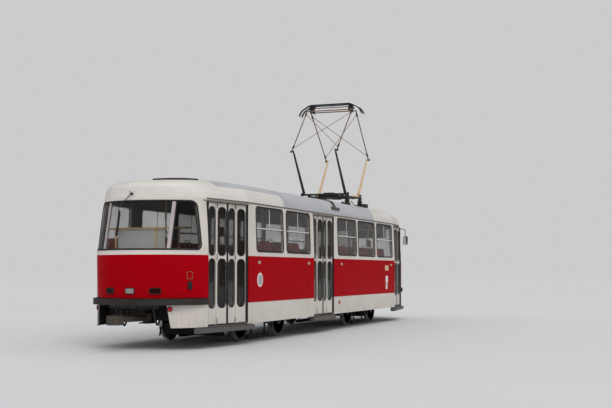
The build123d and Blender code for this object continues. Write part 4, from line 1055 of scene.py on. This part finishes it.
def arm_fittings(end, end_name):
    """Knee caps and sleeves on a lower frame, and collars on an upper one."""
    shaft, knee, top = (Vector((MAST_X + end * x, 0, z)) for x, z in (SHAFT, KNEE, TOP))
    caps, sleeves, collars = Build(), Build(), Build()
    lower = (knee - shaft).normalized()
    for hand in (-1, 1):
        caps.lathe(knee + Y * hand * 0.618, Y * hand, KNEE_CAP, 20)
        foot = shaft + Y * hand * 0.555
        sleeves.tube([foot + lower * 0.05, foot + lower * 1.24], 0.036, 14, end_radius=0.022)
        low, high = knee + Y * hand * 0.597, top + Y * hand * 0.62
        upper = (high - low).normalized()
        for spot in (low.lerp(high, 0.1), low.lerp(high, 0.92)):
            collars.tube([spot - upper * 0.06, spot + upper * 0.06], 0.021)
    body = f"pantograph_lower_{end_name}"
    caps.make(f"pantograph_knee_caps_{end_name}", "black", body)
    sleeves.make(f"pantograph_arm_sleeves_{end_name}", SLEEVE_PAINT[end_name], body)
    collars.make(f"pantograph_arm_collars_{end_name}", "black", f"pantograph_upper_{end_name}")


for end, end_name in ENDS:
    arm_fittings(end, end_name)

# Spring boxes and carbon strips of the collector head
CARBON_X = (MAST_X - 0.095, MAST_X + 0.095)
holders, strips, insulators = Build(), Build(), Build()
for hand in (-1, 1):
    holders.box((MAST_X - 0.155, hand * 0.545 - 0.035, 5.535), (MAST_X + 0.155, hand * 0.545 + 0.035, 5.585))
    for x in CARBON_X:
        holders.box((x - 0.032, hand * 0.526 - 0.05, 5.612), (x + 0.032, hand * 0.526 + 0.05, 5.642))
        holders.coil((x, hand * 0.548, 5.583), (x, hand * 0.548, 5.62), 0.018, 0.004, 4)
holders.make("collector_spring_boxes", "black", "collector_head", bevel=0.003)
for x in CARBON_X:
    strips.sweep([(Vector((x, y, 5.6645)), Z) for y in between(-0.53, 0.53, 12)], CARBON)
strips.make("collector_carbon", "carbon", "collector_head", bevel=0.001)
for x in (2.78, 3.82):
    for y in (-0.6, 0.6):
        insulators.lathe((x, y, 3.062), Z, INSULATOR, 28)
insulators.make("pantograph_insulators", "porcelain")

# Wheels

# Rings of bolts on a wheel: distance from the middle, ring radius, count, head (radius, height, bevel)
BOLT_RINGS = [
    (0.809, 0.072, 8, (0.011, 0.012, (0.002, 0.003))),
    (0.759, 0.205, 10, (0.017, 0.017, (0.003, 0.005))),
]
HUB = [
    (-0.004, 0.1), (0.012, 0.098), (0.018, 0.085), (0.018, 0.045), (0.03, 0.04), (0.034, 0.03), (0.034, 0),
]
TYRE_RING = [(-0.004, 0.318), (0.004, 0.316), (0.004, 0.303), (-0.004, 0.3)]


def wheelset_fittings(name):
    """Hubs, tyre rings and bolts."""
    x, _, z = joint_of[name]["pos_m"]
    hubs, bolts = Build(), Build()
    for side in (-1, 1):
        hubs.lathe((x, side * 0.793, z), Y * side, HUB, 32)
        bolts.lathe((x, side * 0.783, z), Y * side, TYRE_RING, 48)
        for out, radius, count, head in BOLT_RINGS:
            for spot in circle(Vector((x, side * out, z)), X, Z, radius, count):
                bolts.button(spot, Y * side, *head, 6)
    hubs.make(f"{name}_hubs", "wheel", name)
    bolts.make(f"{name}_bolts", "steel", name, flat=True)


for name in sorted(nodes):
    if name.startswith("wheelset"):
        wheelset_fittings(name)

# Bogies

BOGIE_X, HALF_WHEELBASE = 3.2, 0.95
AXLE_BOX_LID = [(-0.004, 0.112), (0.006, 0.108), (0.01, 0.09), (0.01, 0.07)]


def bogie_fittings(end, end_name):
    """Axle box lids, springs, rods and the arms of the guard boards."""
    gear, rods = Build(), Build()
    middle = end * BOGIE_X
    # Radius, sides and points of each rod: along the bogie, across it, up
    runs = (
        (0.014, 10, [(-0.62, 0.43, 0.5), (0.62, 0.43, 0.5)]),
        (0.022, 12, [(-0.22, 0.575, 0.47), (-0.36, 0.59, 0.62)]),
        (0.016, 10, [(end * 1.2, 0.7, 0.33), (end * 1.335, 0.715, 0.24), (end * 1.335, 0.735, 0.1)]),
        (0.016, 10, [(end * 1.0, 0.545, 0.33), (end * 1.2, 0.7, 0.33)]),
    )
    for side in (-1, 1):
        for x in (middle - HALF_WHEELBASE, middle + HALF_WHEELBASE):
            gear.lathe((x, side * 0.58, 0.372), Y * side, AXLE_BOX_LID, 28)
        for x in (middle - 0.42, middle + 0.42):
            gear.coil((x, side * 0.52, 0.542), (x, side * 0.52, 0.652), 0.055, 0.011, 5, 8)
        for radius, sides, points in runs:
            rods.tube([(middle + x, side * y, z) for x, y, z in points], radius, sides)
    gear.make(f"bogie_springs_{end_name}", "black", f"bogie_{end_name}")
    rods.make(f"bogie_rods_{end_name}", "steel", f"bogie_{end_name}")


def coupler_fittings(end, end_name):
    """Bolts on the head, a rod along the shaft and a block on it."""
    made = Build()
    for x, y in ((7.352, -0.085), (7.352, 0.085), (7.482, -0.085), (7.472, 0.08)):
        made.button((end * x, y, 0.6), Z, 0.018, 0.015, (0.003, 0.005), 6, sunk=0.004)
    made.tube([(end * 6.6, -0.02, 0.578), (end * 6.9, -0.03, 0.585), (end * 7.25, -0.02, 0.58)], 0.014)
    made.box((end * 7.26, -0.05, 0.595), (end * 7.4, 0.05, 0.625))
    made.make(f"coupler_fittings_{end_name}", "black", f"coupler_{end_name}", bevel=0.002)


for end, end_name in ENDS:
    bogie_fittings(end, end_name)
    coupler_fittings(end, end_name)

# Pipes under the floor and at the ends, with their hangers

PIPE_Z, HANGER_TOP = 0.735, 0.7605
END_PIPE_Z, END_PIPE_X = 0.7, (6.45, 6.75)
# Across the car and lowest height of each pipe at the ends
END_PIPES = [(0.3, 0.4), (0.38, 0.44), (-0.34, 0.42)]
GLAND = [(-0.03, 0.022), (0.02, 0.024), (0.03, 0.018), (0.03, 0.0)]
pipes, hangers, end_pipes = Build(), Build(), Build()
for side, start, hanger_places in ((-1, 0.1, (0.2, 0.8, 1.8)), (1, -2.0, (-1.9, -1.1, -0.2, 0.8, 1.8))):
    for y in (0.98, 1.02):
        pipes.tube([(start, side * y, PIPE_Z), (2.0, side * y, PIPE_Z)], 0.012, 8)
    for x in hanger_places:
        hangers.box((x - 0.015, side * 0.94, 0.722), (x + 0.015, side * 1.06, HANGER_TOP))
for end, _ in ENDS:
    for y, low in END_PIPES:
        end_pipes.tube([(end * x, y, END_PIPE_Z - (END_PIPE_Z - low) * sin(a))
                        for x, a in zip(between(*END_PIPE_X, 10), between(0, pi, 10))], 0.017)
        for x, facing in zip(END_PIPE_X, (-end, end)):
            end_pipes.lathe((end * x, y, END_PIPE_Z), X * facing, GLAND, 16)
    hangers.box((end * 6.4, -0.46, END_PIPE_Z), (end * 6.78, 0.5, HANGER_TOP))
pipes.make("floor_pipes", "steel")
hangers.make("floor_pipe_hangers", "black", flat=True)
end_pipes.make("end_pipes", "steel")

# Inside

FLOOR_Z, SEAT_BACK_Z, SEAT_Y = 0.922, 1.907, 0.95
LEFT_SEATS = [-4.56 + 0.76 * k for k in range(12)]
RIGHT_SEATS = [-4.26, -3.5, -2.74, -1.98, 0.42, 1.18, 1.94, 2.7, 3.46, 4.22]
# Corner grip of a seat: along the car, towards the aisle, up, from the top of the seat's back
GRIP = [(0.02, 0.14, -0.06), (-0.02, 0.15, 0.05), (-0.02, 0.05, 0.05), (0.02, 0.04, -0.06)]
lights, grips, boxes, screens, nosings = Build(), Build(), Build(), Build(), Build()
for y in (-0.36, 0.36):
    for x in [-4.2 + 1.2 * k for k in range(8)]:
        row = rounded(x - 0.48, x + 0.48, y - 0.065, y + 0.065, 0.03, 3)
        lights.loop([[(a, b, z) for a, b in row] for z in (2.955, 3.0)])
lights.make("ceiling_lamps", "plate", bevel=0.006)
for side, seats in ((1, LEFT_SEATS), (-1, RIGHT_SEATS)):
    for x in seats:
        line = [(x - 0.125 + along, side * (SEAT_Y - aisle), SEAT_BACK_Z + up) for along, aisle, up in GRIP]
        grips.tube(line, 0.0105, 8)
grips.make("seat_grips", "rail")
for x in (-4.65, 0.03, 4.64):
    boxes.slab(rounded(-0.62, -0.5, 1.98, 2.16, 0.02, 4), x + 0.017, x + 0.095)
    screens.box((x + 0.094, -0.595, 2.04), (x + 0.099, -0.525, 2.12))
boxes.make("ticket_boxes", "orange_box", bevel=0.005)
screens.make("ticket_box_screens", "black", flat=True)
for door, (x, _) in DOORWAYS.items():
    riser_y = -0.62 if door == "middle" else -0.44
    nosings.box((x - 0.6, riser_y - 0.002, FLOOR_Z + 0.0005), (x + 0.6, riser_y + 0.035, FLOOR_Z + 0.0055))
nosings.make("step_nosings", "plate", bevel=0.001)

# Dials, switches and lever of the driver's desk
switches, dials = Build(), Build()
for y in between(0.1, 0.46, 3):
    dials.button((6.36, y, 1.655), (-0.5, 0, 1), 0.045, 0.008, (0.004, 0.007), 24, sunk=0.03)
for k in range(9):
    spot = (6.18 + 0.04 * (k % 2), 0.02 + 0.055 * k, 1.622)
    switches.button(spot, Z, 0.012, 0.011, (0.003, 0.004), 10, sunk=0.01)
switches.tube([(6.12, 0.52, 1.6), (6.12, 0.52, 1.7), (6.06, 0.52, 1.74)], 0.01, 8)
dials.make("desk_dials", "black")
switches.make("desk_switches", "label")

# Stage, lamps and camera

floor_mesh = bpy.data.meshes.new("studio_floor")
floor_mesh.from_pydata([(-90, -60, 0), (160, -60, 0), (160, 120, 0), (-90, 120, 0)], [], [(0, 1, 2, 3)])
floor_mesh.materials.append(floor_finish())
studio_floor = bpy.data.objects.new("studio_floor", floor_mesh)
bpy.context.scene.collection.objects.link(studio_floor)

# The world lights the car by one strength, and shows other greys to reflections, glass and camera
world = bpy.data.worlds.new("studio")
bpy.context.scene.world = world
world.use_nodes = True
tree = world.node_tree
lit = tree.nodes["Background"]
lit.inputs["Color"].default_value = (0.95, 0.97, 1.0, 1)
lit.inputs["Strength"].default_value = 0.89
path = tree.nodes.new("ShaderNodeLightPath")
surface = lit.outputs[0]
for ray, tone in (("Is Glossy Ray", (0.13, 0.13, 0.135)), ("Is Transmission Ray", (0.58, 0.58, 0.585)),
                  ("Is Camera Ray", (0.605, 0.6, 0.605))):
    seen = tree.nodes.new("ShaderNodeBackground")
    seen.inputs["Color"].default_value = (*tone, 1)
    either = tree.nodes.new("ShaderNodeMixShader")
    for source, target in zip((path.outputs[ray], surface, seen.outputs[0]), either.inputs):
        tree.links.new(source, target)
    surface = either.outputs[0]
tree.links.new(surface, tree.nodes["World Output"].inputs["Surface"])

sun = bpy.data.lights.new("soft_key", "SUN")
sun.energy = 1.1
sun.angle = radians(35)
sun_object = bpy.data.objects.new("soft_key", sun)
sun_object.rotation_euler = (radians(40), 0, radians(-50))
bpy.context.scene.collection.objects.link(sun_object)

FOCAL_PIXELS, IMAGE_WIDTH, SENSOR = 1064.0, 612.0, 36.0
CAMERA_PLACE, CAMERA_PITCH, CAMERA_YAW = (-22.68, -9.11, 1.332), 3.61, 20.7
camera = bpy.data.cameras.new("camera")
camera.sensor_width = SENSOR
camera.lens = SENSOR * FOCAL_PIXELS / IMAGE_WIDTH
camera.clip_end = 500
camera_object = bpy.data.objects.new("camera", camera)
camera_object.location = CAMERA_PLACE
camera_object.rotation_euler = (radians(90 + CAMERA_PITCH), 0, radians(CAMERA_YAW - 90))
bpy.context.scene.collection.objects.link(camera_object)
bpy.context.scene.camera = camera_object
bpy.context.scene.view_settings.view_transform = "Standard"
